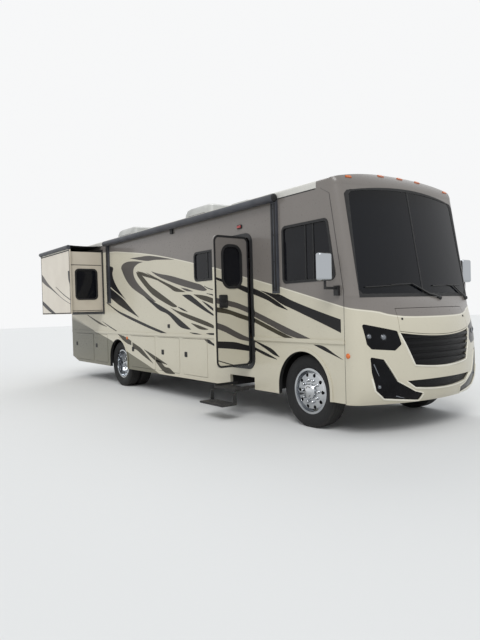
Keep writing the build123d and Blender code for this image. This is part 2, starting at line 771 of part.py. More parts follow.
def make_knuckle(side):
    """A steering knuckle on its kingpin, with the spindle and the tie rod's arm."""
    half = BOSS_H / 2 + EAR_GAP
    plate_y = KINGPIN_Y + BOSS_R + 7
    pin = Pos(0, KINGPIN_Y, BOSS_Z) * Cylinder(KINGPIN_R, 2 * (half + EAR_H))
    knuckle = pin + box(-BOSS_R, BOSS_R, plate_y, plate_y + 25, BOSS_Z - half - EAR_H, BOSS_Z + half + EAR_H)
    for z in (BOSS_Z - half - EAR_H / 2, BOSS_Z + half + EAR_H / 2):
        knuckle += Pos(0, KINGPIN_Y, z) * Cylinder(BOSS_R, EAR_H)
        knuckle += box(-BOSS_R, BOSS_R, KINGPIN_Y, plate_y + 1, z - EAR_H / 2, z + EAR_H / 2)
    spindle_end = WHEEL_Y + HUB_INNER - SPINDLE_GAP
    spindle_len = spindle_end - plate_y
    knuckle += Pos(0, plate_y + spindle_len / 2, AXLE_Z) * Rot(90, 0, 0) * Cylinder(SPINDLE_R, spindle_len)
    arm_z = BOSS_Z - half - EAR_H
    knuckle += box(-ARM_LENGTH - 20, 0, KINGPIN_Y - ARM_W / 2, KINGPIN_Y + ARM_W / 2, arm_z, arm_z + ARM_T)
    return knuckle if side == LEFT else mirror(knuckle, about=Plane.XZ)


def make_tie_rod():
    """The rod that ties the two steering arms together, with a ball stud at each end."""
    arm_z = BOSS_Z - BOSS_H / 2 - EAR_GAP - EAR_H
    rod_z = arm_z - TIE_ROD_R - 6
    rod = Pos(-ARM_LENGTH, 0, rod_z) * Rot(90, 0, 0) * Cylinder(TIE_ROD_R, 2 * KINGPIN_Y)
    stud = Pos(-ARM_LENGTH, KINGPIN_Y, (rod_z + arm_z - 1) / 2) * Cylinder(10, arm_z - 1 - rod_z)
    return rod + both_sides(stud + Pos(-ARM_LENGTH, KINGPIN_Y, rod_z) * Sphere(TIE_ROD_R + 3))


# Entry door and step

def place_door(solid):
    """Swing a closed door piece open about the hinge line."""
    pivot = Vector(DOOR_HINGE_X, -(HALF_WIDTH + HINGE_OUT), 0)
    return Pos(pivot.X, pivot.Y, 0) * Rot(0, 0, DOOR_OPEN_DEG) * Pos(-pivot.X, -pivot.Y, 0) * solid


def door_window_face():
    w0, w1, z0, z1 = DOOR_WINDOW
    free = DOOR_HINGE_X - DOOR_W
    return rounded(free + w0, free + w1, z0, z1, DOOR_WINDOW_R)


def make_entry_door():
    """The door leaf with its window cut and a paddle latch."""
    y0 = -DOOR_FACE_Y
    leaf = side_prism(door_face(), y0, y0 + DOOR_THICK)
    leaf -= side_prism(door_window_face(), y0 - 10, y0 + DOOR_THICK + 10)
    w0, w1, z0, z1 = DOOR_HANDLE
    free = DOOR_HINGE_X - DOOR_W
    leaf += box(free + w0, free + w1, y0 - 14, y0 + 1, z0, z1)
    return place_door(leaf)


def make_entry_door_glass():
    y0 = -DOOR_FACE_Y + 10
    return place_door(side_prism(door_window_face(), y0, y0 + GLASS))


def make_opening_frames():
    """Black frames on the wall round the doorway and round the slide-out."""
    outer = -(HALF_WIDTH + 12)
    frame = side_prism(offset(door_face(GAP), amount=FRAME_RING), outer, -HALF_WIDTH)
    frame -= side_prism(door_face(GAP + 4), outer - 5, -HALF_WIDTH + 5)
    slide = box(SLIDE_X0 - 70, SLIDE_X1 + 70, outer, -HALF_WIDTH, SLIDE_Z0 - 60, SLIDE_Z1 + 60)
    slide -= box(SLIDE_X0 - GAP, SLIDE_X1 + GAP, outer - 5, -HALF_WIDTH + 5, SLIDE_Z0 - GAP, SLIDE_Z1 + GAP)
    return frame + slide


def make_step_housing():
    """The open steel housing that the step folds into."""
    y_in = -INNER_HALF + 460
    top = STEP_HOUSING_Z + 20
    shell = box(STEP_X0 - 4, STEP_X1 + 4, -INNER_HALF, y_in, SKIRT_Z + 5, top)
    shell -= box(STEP_X0 + 6, STEP_X1 - 6, -INNER_HALF - 5, y_in - 10, SKIRT_Z - 5, top - 10)
    hanger = box(STEP_X0 + 60, STEP_X0 + 100, y_in - 60, y_in, top - 1, WELL_Z)
    return shell + hanger + Pos(STEP_X1 - STEP_X0 - 160, 0, 0) * hanger


def make_step_upper():
    """The upper tread on its two side arms, run out of the housing."""
    out_y = -(HALF_WIDTH + STEP_OUT)
    tread = box(STEP_X0 + 30, STEP_X1 - 30, out_y, out_y + STEP_TREAD, STEP_UPPER_Z - STEP_THICK, STEP_UPPER_Z)
    arms = None
    for x in (STEP_X0 + 20, STEP_X1 - 32):
        arm = box(x, x + 12, out_y + 20, -HALF_WIDTH + 110, STEP_UPPER_Z - 10, STEP_UPPER_Z + 30)
        arms = arm if arms is None else arms + arm
    return tread + arms


def make_step_lower():
    """The lower tread on two hangers."""
    out_y = -(HALF_WIDTH + STEP_OUT + STEP_RUN)
    tread = box(STEP_X0 + 8, STEP_X1 - 8, out_y, out_y + STEP_TREAD, STEP_LOWER_Z - STEP_THICK, STEP_LOWER_Z)
    top = STEP_HOUSING_Z - 35 - STEP_LIFT
    for x in (STEP_X0 + 8, STEP_X1 - 16):
        tread += box(x, x + 8, out_y + STEP_TREAD - 60, out_y + STEP_TREAD, STEP_LOWER_Z - 1, top)
    return tread


# Slide-out room

def make_slide_out():
    """The slide-out's box, open to the cabin, with a lip round its outer wall and a window cut in its front end."""
    outer = -(HALF_WIDTH + SLIDE_OUT)
    inner = -(HALF_WIDTH - SLIDE_INSIDE)
    room = box(SLIDE_X0, SLIDE_X1, outer, inner, SLIDE_Z0, SLIDE_Z1)
    room += box(SLIDE_X0 - SLIDE_LIP, SLIDE_X1 + SLIDE_LIP, outer, outer + SLIDE_LIP_THICK, SLIDE_Z0 - SLIDE_LIP,
                SLIDE_Z1 + SLIDE_LIP)
    room -= box(SLIDE_X0 + SLIDE_WALL, SLIDE_X1 - SLIDE_WALL, outer + SLIDE_WALL, inner + 10, SLIDE_Z0 + SLIDE_WALL,
                SLIDE_Z1 - SLIDE_WALL)
    room -= front_prism(slide_window_face(), SLIDE_X1 - 100, SLIDE_X1 + 10)
    return room


def slide_window_face():
    y0, y1, z0, z1 = SLIDE_WINDOW
    outer = -(HALF_WIDTH + SLIDE_OUT)
    return polygon([(outer + y0, z0), (outer + y1, z0), (outer + y1, z1), (outer + y0, z1)], SLIDE_WINDOW_R)


def make_slide_window():
    return front_prism(slide_window_face(), SLIDE_X1 - 10 - GLASS, SLIDE_X1 - 10)


def make_topper():
    """The roller of the slide-out's awning, on two brackets."""
    y = -(HALF_WIDTH + SLIDE_OUT + 10)
    z = SLIDE_Z1 + SLIDE_LIP + TOPPER_R + 12
    length = SLIDE_X1 - SLIDE_X0 + 60
    roller = Pos((SLIDE_X0 + SLIDE_X1) / 2, y, z) * Rot(0, 90, 0) * Cylinder(TOPPER_R, length)
    for x in (SLIDE_X0 - 30, SLIDE_X1 - 10):
        roller += box(x, x + 40, y - 12, y + 40, SLIDE_Z1 + SLIDE_LIP, z)
    return roller


# Outer fittings

def make_awning():
    """The rolled awning in its cradle along the roof edge, with its two arms flat on the wall."""
    y = -(HALF_WIDTH + AWNING_R + 10)
    roll = Pos((AWNING_X0 + AWNING_X1) / 2, y, AWNING_Z) * Rot(0, 90, 0) * Cylinder(AWNING_R, AWNING_X1 - AWNING_X0)
    for x in (AWNING_X0, AWNING_X1 - AWNING_ARM_W):
        roll += box(x, x + AWNING_ARM_W, -HALF_WIDTH - AWNING_ARM_T, -HALF_WIDTH - 0.5, AWNING_ARM_Z, AWNING_Z)
    return roll


def make_mirrors():
    """Side mirrors on arms from the foot of the windshield pillars."""
    head = Pos(640, -1450, 2040) * Box(90, 210, 330)
    head = fillet(head.edges(), 30)
    arm = box(600, 670, -1260, -HALF_WIDTH - 0.5, 1700, 1820)
    arm += Pos(635, -1340, 1790) * Rot(90, 0, 0) * Cylinder(16, 200)
    arm += Pos(635, -1435, 1850) * Cylinder(16, 150)
    return both_sides(head + arm)


def make_wipers():
    """Two wiper arms resting on the foot of the windshield."""
    arms = None
    for y in (-550, 500):
        arm = box(985, 1010, y - 320, y + 320, 1700, 1720)
        arms = arm if arms is None else arms + arm
    return arms


def make_rear_bumper():
    """The rear bumper beam with the towing receiver below it."""
    beam = box(REAR_X - 60, REAR_X + 50, -1000, 1000, BUMPER_Z - 85, BUMPER_Z)
    beam += both_sides(box(REAR_X + 49, FRAME_REAR_X + 150, FRAME_HALF - 50, FRAME_HALF, BUMPER_Z - 85,
                           FRAME_TOP_Z - FRAME_H))
    half = RECEIVER / 2 + RECEIVER_WALL
    top = BUMPER_Z - 84
    mouth = REAR_X - 90
    tube = box(mouth, REAR_X + 250, -half, half, top - 2 * half, top)
    tube -= box(mouth - 1, REAR_X + 251, -RECEIVER / 2, RECEIVER / 2, top - half - RECEIVER / 2,
                top - half + RECEIVER / 2)
    pin = Pos(mouth + RECEIVER_PIN_X, 0, top - half) * Rot(90, 0, 0) * Cylinder(RECEIVER_PIN_R, 200)
    return beam + tube - pin


def make_tail_lamps():
    return both_sides(box(REAR_X - 14, REAR_X, 850, 1060, 900, 1250))


def make_roof_units():
    """Two air conditioners and two roof vents."""
    units = None
    for x, y, length, width, height in ((-7150, 0, 1050, 720, 330), (-3900, 0, 1050, 720, 330),
                                        (-8150, 250, 400, 400, 110), (-2250, -350, 600, 420, 120)):
        top = ROOF_CROWN_Z - 6
        unit = Pos(x, y, top + height / 2 - 20) * Box(length, width, height + 40)
        unit = fillet(unit.edges().filter_by(Axis.Z), 60)
        units = unit if units is None else units + unit
    return units - body_profile(0, WALL_REAR_X, ROOF_FRONT_X)


# Cab

def make_dashboard():
    """The dashboard across the cab below the windshield."""
    face = make_face(Polyline((150, 1300), (1100, 1300), (1100, 1640), (700, 1660), (330, 1700), (230, 1620),
                              (200, 1480), close=True))
    inner = make_face(Polyline((240, 1200), (1150, 1200), (1150, 1600), (690, 1620), (340, 1660), (270, 1600),
                               (240, 1480), close=True))
    body = side_prism(face, -INNER_HALF + 3, INNER_HALF - 3) - side_prism(inner, -1140, 1140)
    return body & cap_solid(CAP_WALL + 3)


def make_steering_wheel():
    """The driver's wheel on its column."""
    ring = Torus(215, 16)
    ring += Box(400, 40, 14) + Cylinder(50, 30)
    column = Pos(0, 0, -110) * Cylinder(28, 200)
    return Pos(*STEERING_WHEEL_AT) * Rot(0, -STEERING_TILT_DEG, 0) * (ring + column)


def make_seats():
    """Cushion and back of the two cab seats, each in one block."""
    face = make_face(Polyline((-780, 1520), (-180, 1520), (-180, 1640), (-640, 1620), (-800, 2400), (-920, 2380),
                              close=True))
    seat = side_prism(face, 360, 880)
    return both_sides(fillet(seat.edges().filter_by(Axis.Y), 30))


def make_seat_pedestals():
    return both_sides(box(-680, -280, 460, 780, FLOOR_TOP_Z, 1519))


def make_baggage_door(side, x0, x1):
    """A flush baggage door, hinged at its front edge."""
    face = rounded(x0, x1, BAY_Z0, BAY_Z1, BAY_CORNER_R)
    outer = side * (HALF_WIDTH + 3)
    return side_prism(face, outer, outer - side * BAY_DOOR_THICK)


def all_nodes():
    """Every node by name."""
    nodes = {
        "frame_rails": make_frame_rails(),
        "cross_members": make_cross_members(),
        "engine_block": make_engine_block(),
        "front_axle": make_front_axle(),
        "rear_axle": make_rear_axle(),
        "fuel_tank": make_fuel_tank(),
        "exhaust": make_exhaust(),
        "baggage_bays": make_baggage_bays(),
        "floor": make_floor(),
        "entry_well": make_entry_well(),
        "wall_right": make_wall(RIGHT),
        "wall_left": make_wall(LEFT),
        "roof": make_roof(),
        "rear_cap": make_rear_cap(),
        "front_cap": make_front_cap(),
        "windshield": make_windshield(),
        "side_glass": make_side_glass(),
        "front_hatch": make_front_hatch(),
        "front_grilles": make_front_grilles(),
        "headlamps": make_headlamps(),
        "lower_pods": make_lower_pods(),
        "awning": make_awning(),
        "mirrors": make_mirrors(),
        "wipers": make_wipers(),
        "rear_bumper": make_rear_bumper(),
        "tail_lamps": make_tail_lamps(),
        "roof_units": make_roof_units(),
        "dashboard": make_dashboard(),
        "steering_wheel": make_steering_wheel(),
        "seats": make_seats(),
        "seat_pedestals": make_seat_pedestals(),
        "entry_door": make_entry_door(),
        "entry_door_glass": make_entry_door_glass(),
        "opening_frames": make_opening_frames(),
        "step_housing": make_step_housing(),
        "step_upper": make_step_upper(),
        "step_lower": make_step_lower(),
        "slide_out": make_slide_out(),
        "slide_window": make_slide_window(),
        "topper": make_topper(),
        "tie_rod": make_tie_rod(),
        "knuckle_right": make_knuckle(RIGHT),
        "knuckle_left": make_knuckle(LEFT),
    }
    for name, side in (("right", RIGHT), ("left", LEFT)):
        nodes["front_tyre_" + name], nodes["front_rim_" + name] = front_wheel(side)
        nodes["rear_tyres_" + name], nodes["rear_rims_" + name] = rear_wheel(side)
    for name, side, x0, x1 in BAYS:
        nodes[name] = make_baggage_door(side, x0, x1)
    return nodes


NODES = all_nodes()
BOXES = [node.bounding_box() for node in NODES.values()]
X_MID = (min(b.min.X for b in BOXES) + max(b.max.X for b in BOXES)) / 2
Y_MID = (min(b.min.Y for b in BOXES) + max(b.max.Y for b in BOXES)) / 2

os.makedirs("parts", exist_ok=True)
for node_name, node_shape in NODES.items():
    export_step(Pos(-X_MID, -Y_MID, 0) * node_shape, "parts/" + node_name + ".step")
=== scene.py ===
import math

import bmesh
import bpy
from mathutils import Matrix, Vector
from mathutils.bvhtree import BVHTree
from mathutils.geometry import delaunay_2d_cdt


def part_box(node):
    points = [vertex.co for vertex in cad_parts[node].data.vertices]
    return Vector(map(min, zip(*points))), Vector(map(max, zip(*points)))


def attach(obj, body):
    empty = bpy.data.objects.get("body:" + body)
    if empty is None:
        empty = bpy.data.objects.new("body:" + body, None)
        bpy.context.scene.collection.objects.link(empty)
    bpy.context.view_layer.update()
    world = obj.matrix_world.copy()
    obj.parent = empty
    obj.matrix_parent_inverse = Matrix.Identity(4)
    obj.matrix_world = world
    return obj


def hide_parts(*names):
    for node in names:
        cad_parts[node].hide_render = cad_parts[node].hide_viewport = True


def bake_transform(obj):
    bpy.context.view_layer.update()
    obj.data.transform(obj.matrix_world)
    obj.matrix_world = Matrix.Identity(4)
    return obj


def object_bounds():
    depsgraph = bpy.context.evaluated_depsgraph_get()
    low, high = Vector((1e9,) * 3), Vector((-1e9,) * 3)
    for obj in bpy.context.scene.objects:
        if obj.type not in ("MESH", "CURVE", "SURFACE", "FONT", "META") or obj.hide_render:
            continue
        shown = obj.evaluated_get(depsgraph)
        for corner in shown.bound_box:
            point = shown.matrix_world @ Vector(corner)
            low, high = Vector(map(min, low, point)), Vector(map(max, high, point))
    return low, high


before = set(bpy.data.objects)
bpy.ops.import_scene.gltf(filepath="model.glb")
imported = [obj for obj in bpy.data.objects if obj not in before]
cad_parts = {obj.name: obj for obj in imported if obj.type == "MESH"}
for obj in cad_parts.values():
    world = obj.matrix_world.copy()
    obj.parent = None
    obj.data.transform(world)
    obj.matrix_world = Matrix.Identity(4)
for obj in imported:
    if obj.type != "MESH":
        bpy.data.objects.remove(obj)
cad_box = [list(corner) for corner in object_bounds()]

# Camera
# It stands ahead of the passenger's side at eye height, with a phone's wide lens. Its place, like every size
# below, is in metres from the front axle: x forward, y to the driver's side and z up from the ground. The
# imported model's origin is the middle of its box, so the axle is found from the front tyres.
right_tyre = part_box("front_tyre_right")
left_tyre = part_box("front_tyre_left")
AXLE_X = (right_tyre[0][0] + right_tyre[1][0]) / 2
MIDDLE_Y = (right_tyre[0][1] + left_tyre[1][1]) / 2


def at(x, y, z):
    """A place in the measuring frame, in the model's own frame."""
    return Vector((x + AXLE_X, y + MIDDLE_Y, z))


CAMERA_AT = (5.398, -6.168, 1.574)
CAMERA_FORWARD = (-0.8073, 0.5898, -0.0200)
CAMERA_UP = (0.000, 0.034, 0.9994)
CAMERA_LENS_MM = 31.655

camera_data = bpy.data.cameras.new("camera")
camera_data.sensor_fit = "AUTO"
camera_data.sensor_width = 36
camera_data.lens = CAMERA_LENS_MM
camera_data.clip_end = 200
camera = bpy.data.objects.new("camera", camera_data)
bpy.context.scene.collection.objects.link(camera)
back = -Vector(CAMERA_FORWARD).normalized()
side_axis = Vector(CAMERA_UP).cross(back).normalized()
up_axis = back.cross(side_axis)
facing = Matrix((side_axis, up_axis, back)).transposed().to_4x4()
camera.matrix_world = Matrix.Translation(at(*CAMERA_AT)) @ facing
bpy.context.scene.camera = camera


# Floor and light
# A plain pale floor under a pale sky, one broad soft lamp high on the camera's side and a weaker one behind.
# Their materials, like all below, are written with Wire and Finish.
class Wire:
    """A node's output. Sums and products of wires add the Math nodes that they need."""

    def __init__(self, tree, socket):
        self.tree = tree
        self.socket = socket

    def put(self, kind, settings=None, *values, out=0, **named):
        """Adds a node, makes its settings first, then fills its inputs, and returns one output."""
        made = self.tree.nodes.new(kind)
        for key, value in (settings or {}).items():
            setattr(made, key, value)
        slots = list(enumerate(values)) + list(named.items())
        for key, value in slots:
            spot = made.inputs[key]
            if isinstance(value, Wire):
                self.tree.links.new(value.socket, spot)
            else:
                spot.default_value = value
        return Wire(self.tree, made.outputs[out])

    def math(self, operation, *values, clamp=False):
        return self.put("ShaderNodeMath", {"operation": operation, "use_clamp": clamp}, *values)

    def of(self, operation):
        """A one-sided operation, such as ABSOLUTE, SINE or SQRT."""
        return self.math(operation, self)

    def __add__(self, other):
        return self.math("ADD", self, other)

    __radd__ = __add__

    def __sub__(self, other):
        return self.math("SUBTRACT", self, other)

    def __rsub__(self, other):
        return self.math("SUBTRACT", other, self)

    def __mul__(self, other):
        return self.math("MULTIPLY", self, other)

    __rmul__ = __mul__

    def __truediv__(self, other):
        return self.math("DIVIDE", self, other)

    def ramp(self, factor, start=0.0):
        """This times factor plus start, kept between 0 and 1."""
        return self.math("MULTIPLY_ADD", self, factor, start, clamp=True)

    def above(self, other, soft):
        """1 where this is more than other, 0 where less, with a soft edge."""
        return (self - other).ramp(1 / soft, 0.5)

    def mix(self, low, high):
        """A colour between low and high, by this wire."""
        made = self.put("ShaderNodeMix", {"data_type": "RGBA"}, self, out=2)
        for index, colour in ((6, low), (7, high)):
            spot = made.socket.node.inputs[index]
            if isinstance(colour, Wire):
                self.tree.links.new(colour.socket, spot)
            else:
                spot.default_value = colour
        return made


def shade(red, green, blue):
    """A colour given as screen values from 0 to 255, as Blender's linear light."""
    def linear(value):
        value = value / 255
        return value / 12.92 if value <= 0.04045 else ((value + 0.055) / 1.055) ** 2.4
    return (linear(red), linear(green), linear(blue), 1)


class Finish:
    """A material with one Principled shader, read by its Object coordinates."""

    def __init__(self, name, colour=None, **sockets):
        self.material = bpy.data.materials.new(name)
        self.material.use_nodes = True
        self.tree = self.material.node_tree
        self.shader = self.tree.nodes["Principled BSDF"]
        self.place = Wire(self.tree, self.tree.nodes.new("ShaderNodeTexCoord").outputs["Object"])
        if colour is not None:
            self.shader.inputs["Base Color"].default_value = colour
        for key, value in sockets.items():
            self.shader.inputs[key.replace("_", " ")].default_value = value

    def axes(self):
        """x, y and z as wires."""
        split = self.place.put("ShaderNodeSeparateXYZ", None, self.place)
        node = split.socket.node
        return [Wire(self.tree, node.outputs[index]) for index in range(3)]

    def noise(self, scale, detail=3, rough=0.5):
        return self.place.put("ShaderNodeTexNoise", None, Vector=self.place, Scale=scale, Detail=detail,
                              Roughness=rough)

    def feed(self, socket, wire):
        self.tree.links.new(wire.socket, self.shader.inputs[socket])
        return self

    def bump(self, height, strength, distance=0.001):
        normal = self.place.put("ShaderNodeBump", None, Strength=strength, Distance=distance, Height=height)
        return self.feed("Normal", normal)

    def grain(self, scale, detail, strength, distance):
        """A fine uneven surface."""
        return self.bump(self.noise(scale, detail), strength, distance)

    def sheen(self, scale, detail, spread, least):
        """Roughness that wanders by spread above its least value."""
        return self.feed("Roughness", self.noise(scale, detail) * spread + least)

    def blotch(self, dark, light, scale, low=0.35, high=0.65):
        """Base colour that wanders between two shades."""
        share = (self.noise(scale, 4) - low).ramp(1 / (high - low))
        return self.feed("Base Color", share.mix(dark, light))

    def dress(self, *nodes):
        """Gives this finish to CAD nodes."""
        for name in nodes:
            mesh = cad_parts[name].data
            mesh.materials.clear()
            mesh.materials.append(self.material)
        return self


FLOOR_REACH = 60.0
FLOOR_COLOUR = shade(226, 226, 224)
SKY_COLOUR = (0.80, 0.83, 0.87, 1)
SKY_STRENGTH = 0.78
BACKDROP_COLOUR = (0.93, 0.935, 0.94, 1)
SUNS = [("key", (0.55, -0.62, 0.85), 1.35), ("fill", (-0.7, 0.5, 0.9), 0.45)]
SUN_ANGLE_DEG = 28

floor_mesh = bpy.data.meshes.new("studio_floor")
floor_corners = ((-FLOOR_REACH, -FLOOR_REACH, 0), (FLOOR_REACH, -FLOOR_REACH, 0),
                 (FLOOR_REACH, FLOOR_REACH, 0), (-FLOOR_REACH, FLOOR_REACH, 0))
floor_mesh.from_pydata(floor_corners, [], [(0, 1, 2, 3)])
studio_floor = bpy.data.objects.new("studio_floor", floor_mesh)
bpy.context.scene.collection.objects.link(studio_floor)
floor_finish = Finish("studio_floor", FLOOR_COLOUR, Roughness=0.9)
floor_mesh.materials.append(floor_finish.material)

world = bpy.data.worlds.new("studio")
bpy.context.scene.world = world
world.use_nodes = True
sky = world.node_tree.nodes["Background"]
sky.inputs["Color"].default_value = SKY_COLOUR
sky.inputs["Strength"].default_value = SKY_STRENGTH
backdrop = world.node_tree.nodes.new("ShaderNodeBackground")
backdrop.inputs["Color"].default_value = BACKDROP_COLOUR
backdrop.inputs["Strength"].default_value = 1.0
rays = world.node_tree.nodes.new("ShaderNodeLightPath")
seen, mirrored, bent = (Wire(world.node_tree, rays.outputs[name]) for name in
                        ("Is Camera Ray", "Is Glossy Ray", "Is Transmission Ray"))
choose = world.node_tree.nodes.new("ShaderNodeMixShader")
world.node_tree.links.new((seen + mirrored + bent).ramp(1.0).socket, choose.inputs[0])
world.node_tree.links.new(sky.outputs[0], choose.inputs[1])
world.node_tree.links.new(backdrop.outputs[0], choose.inputs[2])
world.node_tree.links.new(choose.outputs[0], world.node_tree.nodes["World Output"].inputs["Surface"])

for name, towards, strength in SUNS:
    sun_data = bpy.data.lights.new(name, "SUN")
    sun_data.energy = strength
    sun_data.angle = math.radians(SUN_ANGLE_DEG)
    sun = bpy.data.objects.new(name, sun_data)
    bpy.context.scene.collection.objects.link(sun)
    sun.rotation_euler = Vector(towards).to_track_quat("Z", "Y").to_euler()
bpy.context.scene.view_settings.view_transform = "Standard"


# Coach paint
# Sides, front cap, hatch, entry door and baggage doors are cream below and taupe above one swept line,
# with an olive shade low at the back, all sprayed under clear lacquer. The line falls from rear to nose.
OLIVE = shade(98, 95, 76)
# A painted highlight: a lighter line just below the swept line, where light catches the paint edge's bevel.
EDGE_HIGHLIGHT = shade(226, 222, 208)
EDGE_HIGHLIGHT_LOW = 0.016
EDGE_HIGHLIGHT_HIGH = 0.004
BAND_LINE = [(-8.70, 2.90), (-6.05, 2.876), (-5.13, 2.778), (-4.45, 2.69), (-3.25, 2.482), (-1.94, 2.205),
             (-0.60, 1.897), (0.74, 1.561), (0.96, 1.505), (1.06, 1.450), (1.15, 1.425), (1.30, 1.420)]
OLIVE_LINE = [(-8.70, 1.52), (-7.54, 1.262), (-6.85, 1.111), (-6.05, 0.943), (-5.30, 0.746), (-4.17, 0.464),
              (-3.90, 0.380)]
DOOR_OPEN_DEG = 94
HINGE_X = -1.090
HINGE_Y = -1.240


def height_line(finish, x, points):
    """The height of a line of points over x, in a smooth curve."""
    x_low, x_high = points[0][0], points[-1][0]
    z_low = min(z for _, z in points)
    z_high = max(z for _, z in points)
    share = (x - x_low) / (x_high - x_low)
    curve = finish.place.put("ShaderNodeFloatCurve", None, Factor=1.0, Value=share)
    mapping = curve.socket.node.mapping
    track = mapping.curves[0]
    scaled = [((px - x_low) / (x_high - x_low), (pz - z_low) / (z_high - z_low)) for px, pz in points]
    track.points[0].location = scaled[0]
    track.points[1].location = scaled[-1]
    for spot in scaled[1:-1]:
        track.points.new(*spot)
    mapping.update()
    return curve * (z_high - z_low) + z_low


def paint(name, door=False):
    """The two-tone lacquer. On the door it is read as if the door were shut."""
    finish = Finish(name, Roughness=0.28, IOR=1.35, Coat_Weight=0.3, Coat_Roughness=0.06)
    x, y, z = finish.axes()
    x = x - AXLE_X
    if door:
        turn = math.radians(-DOOR_OPEN_DEG)
        y = y - MIDDLE_Y
        x = (x - HINGE_X) * math.cos(turn) - (y - HINGE_Y) * math.sin(turn) + HINGE_X
    band = height_line(finish, x, BAND_LINE)
    shadow = height_line(finish, x, OLIVE_LINE)
    # Each colour is cloudy by a few parts in a hundred, as old lacquer is.
    speckle = finish.noise(3.0, 5) * 0.5 + finish.noise(0.6, 3) * 0.5
    cream = speckle.mix(shade(192, 186, 167), shade(203, 197, 178))
    taupe = speckle.mix(shade(116, 111, 106), shade(127, 121, 116))
    # The olive's edge is sharp at the front and wider towards the rear, behind x = -7.2.
    fade = (x * -1 - 7.2).ramp(0.5) * 0.18 + 0.006
    low = ((shadow - z) / fade).ramp(1, 0.5)
    body = low.mix(cream, OLIVE)
    # A narrow line just below the swept line is painted lighter, a painted highlight on the paint edge's
    # bevel.
    line = z.above(band - EDGE_HIGHLIGHT_LOW, 0.004) * (1 - z.above(band - EDGE_HIGHLIGHT_HIGH, 0.003)) * 0.7
    body = line.mix(body, EDGE_HIGHLIGHT)
    body = z.above(band, 0.004).mix(body, taupe)
    # Road dust lies below three quarters of a metre and dulls the lacquer.
    dust = (0.75 - z).ramp(1.6) * finish.noise(9, 6) * 0.35
    finish.feed("Base Color", dust.mix(body, shade(150, 138, 118)))
    finish.feed("Roughness", finish.noise(40, 3) * 0.1 + 0.24 + dust * 0.3)
    return finish.grain(260, 2, 0.04, 0.0006)


bays = [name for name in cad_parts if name.startswith(("baggage_right", "baggage_left"))]
paint("coach_paint").dress("wall_right", "wall_left", "front_cap", "rear_cap", "front_hatch", *bays)
paint("door_paint", door=True).dress("entry_door")
# The room's cream is painted lighter and pinker than the walls', a painted light where the bright sky ahead
# falls on it.
room_paint = Finish("room_paint", Roughness=0.3, Coat_Weight=0.4, Coat_Roughness=0.08)
room_paint.blotch(shade(203, 193, 176), shade(212, 203, 186), 2.2)
room_paint.grain(260, 2, 0.04, 0.0006).dress("slide_out")


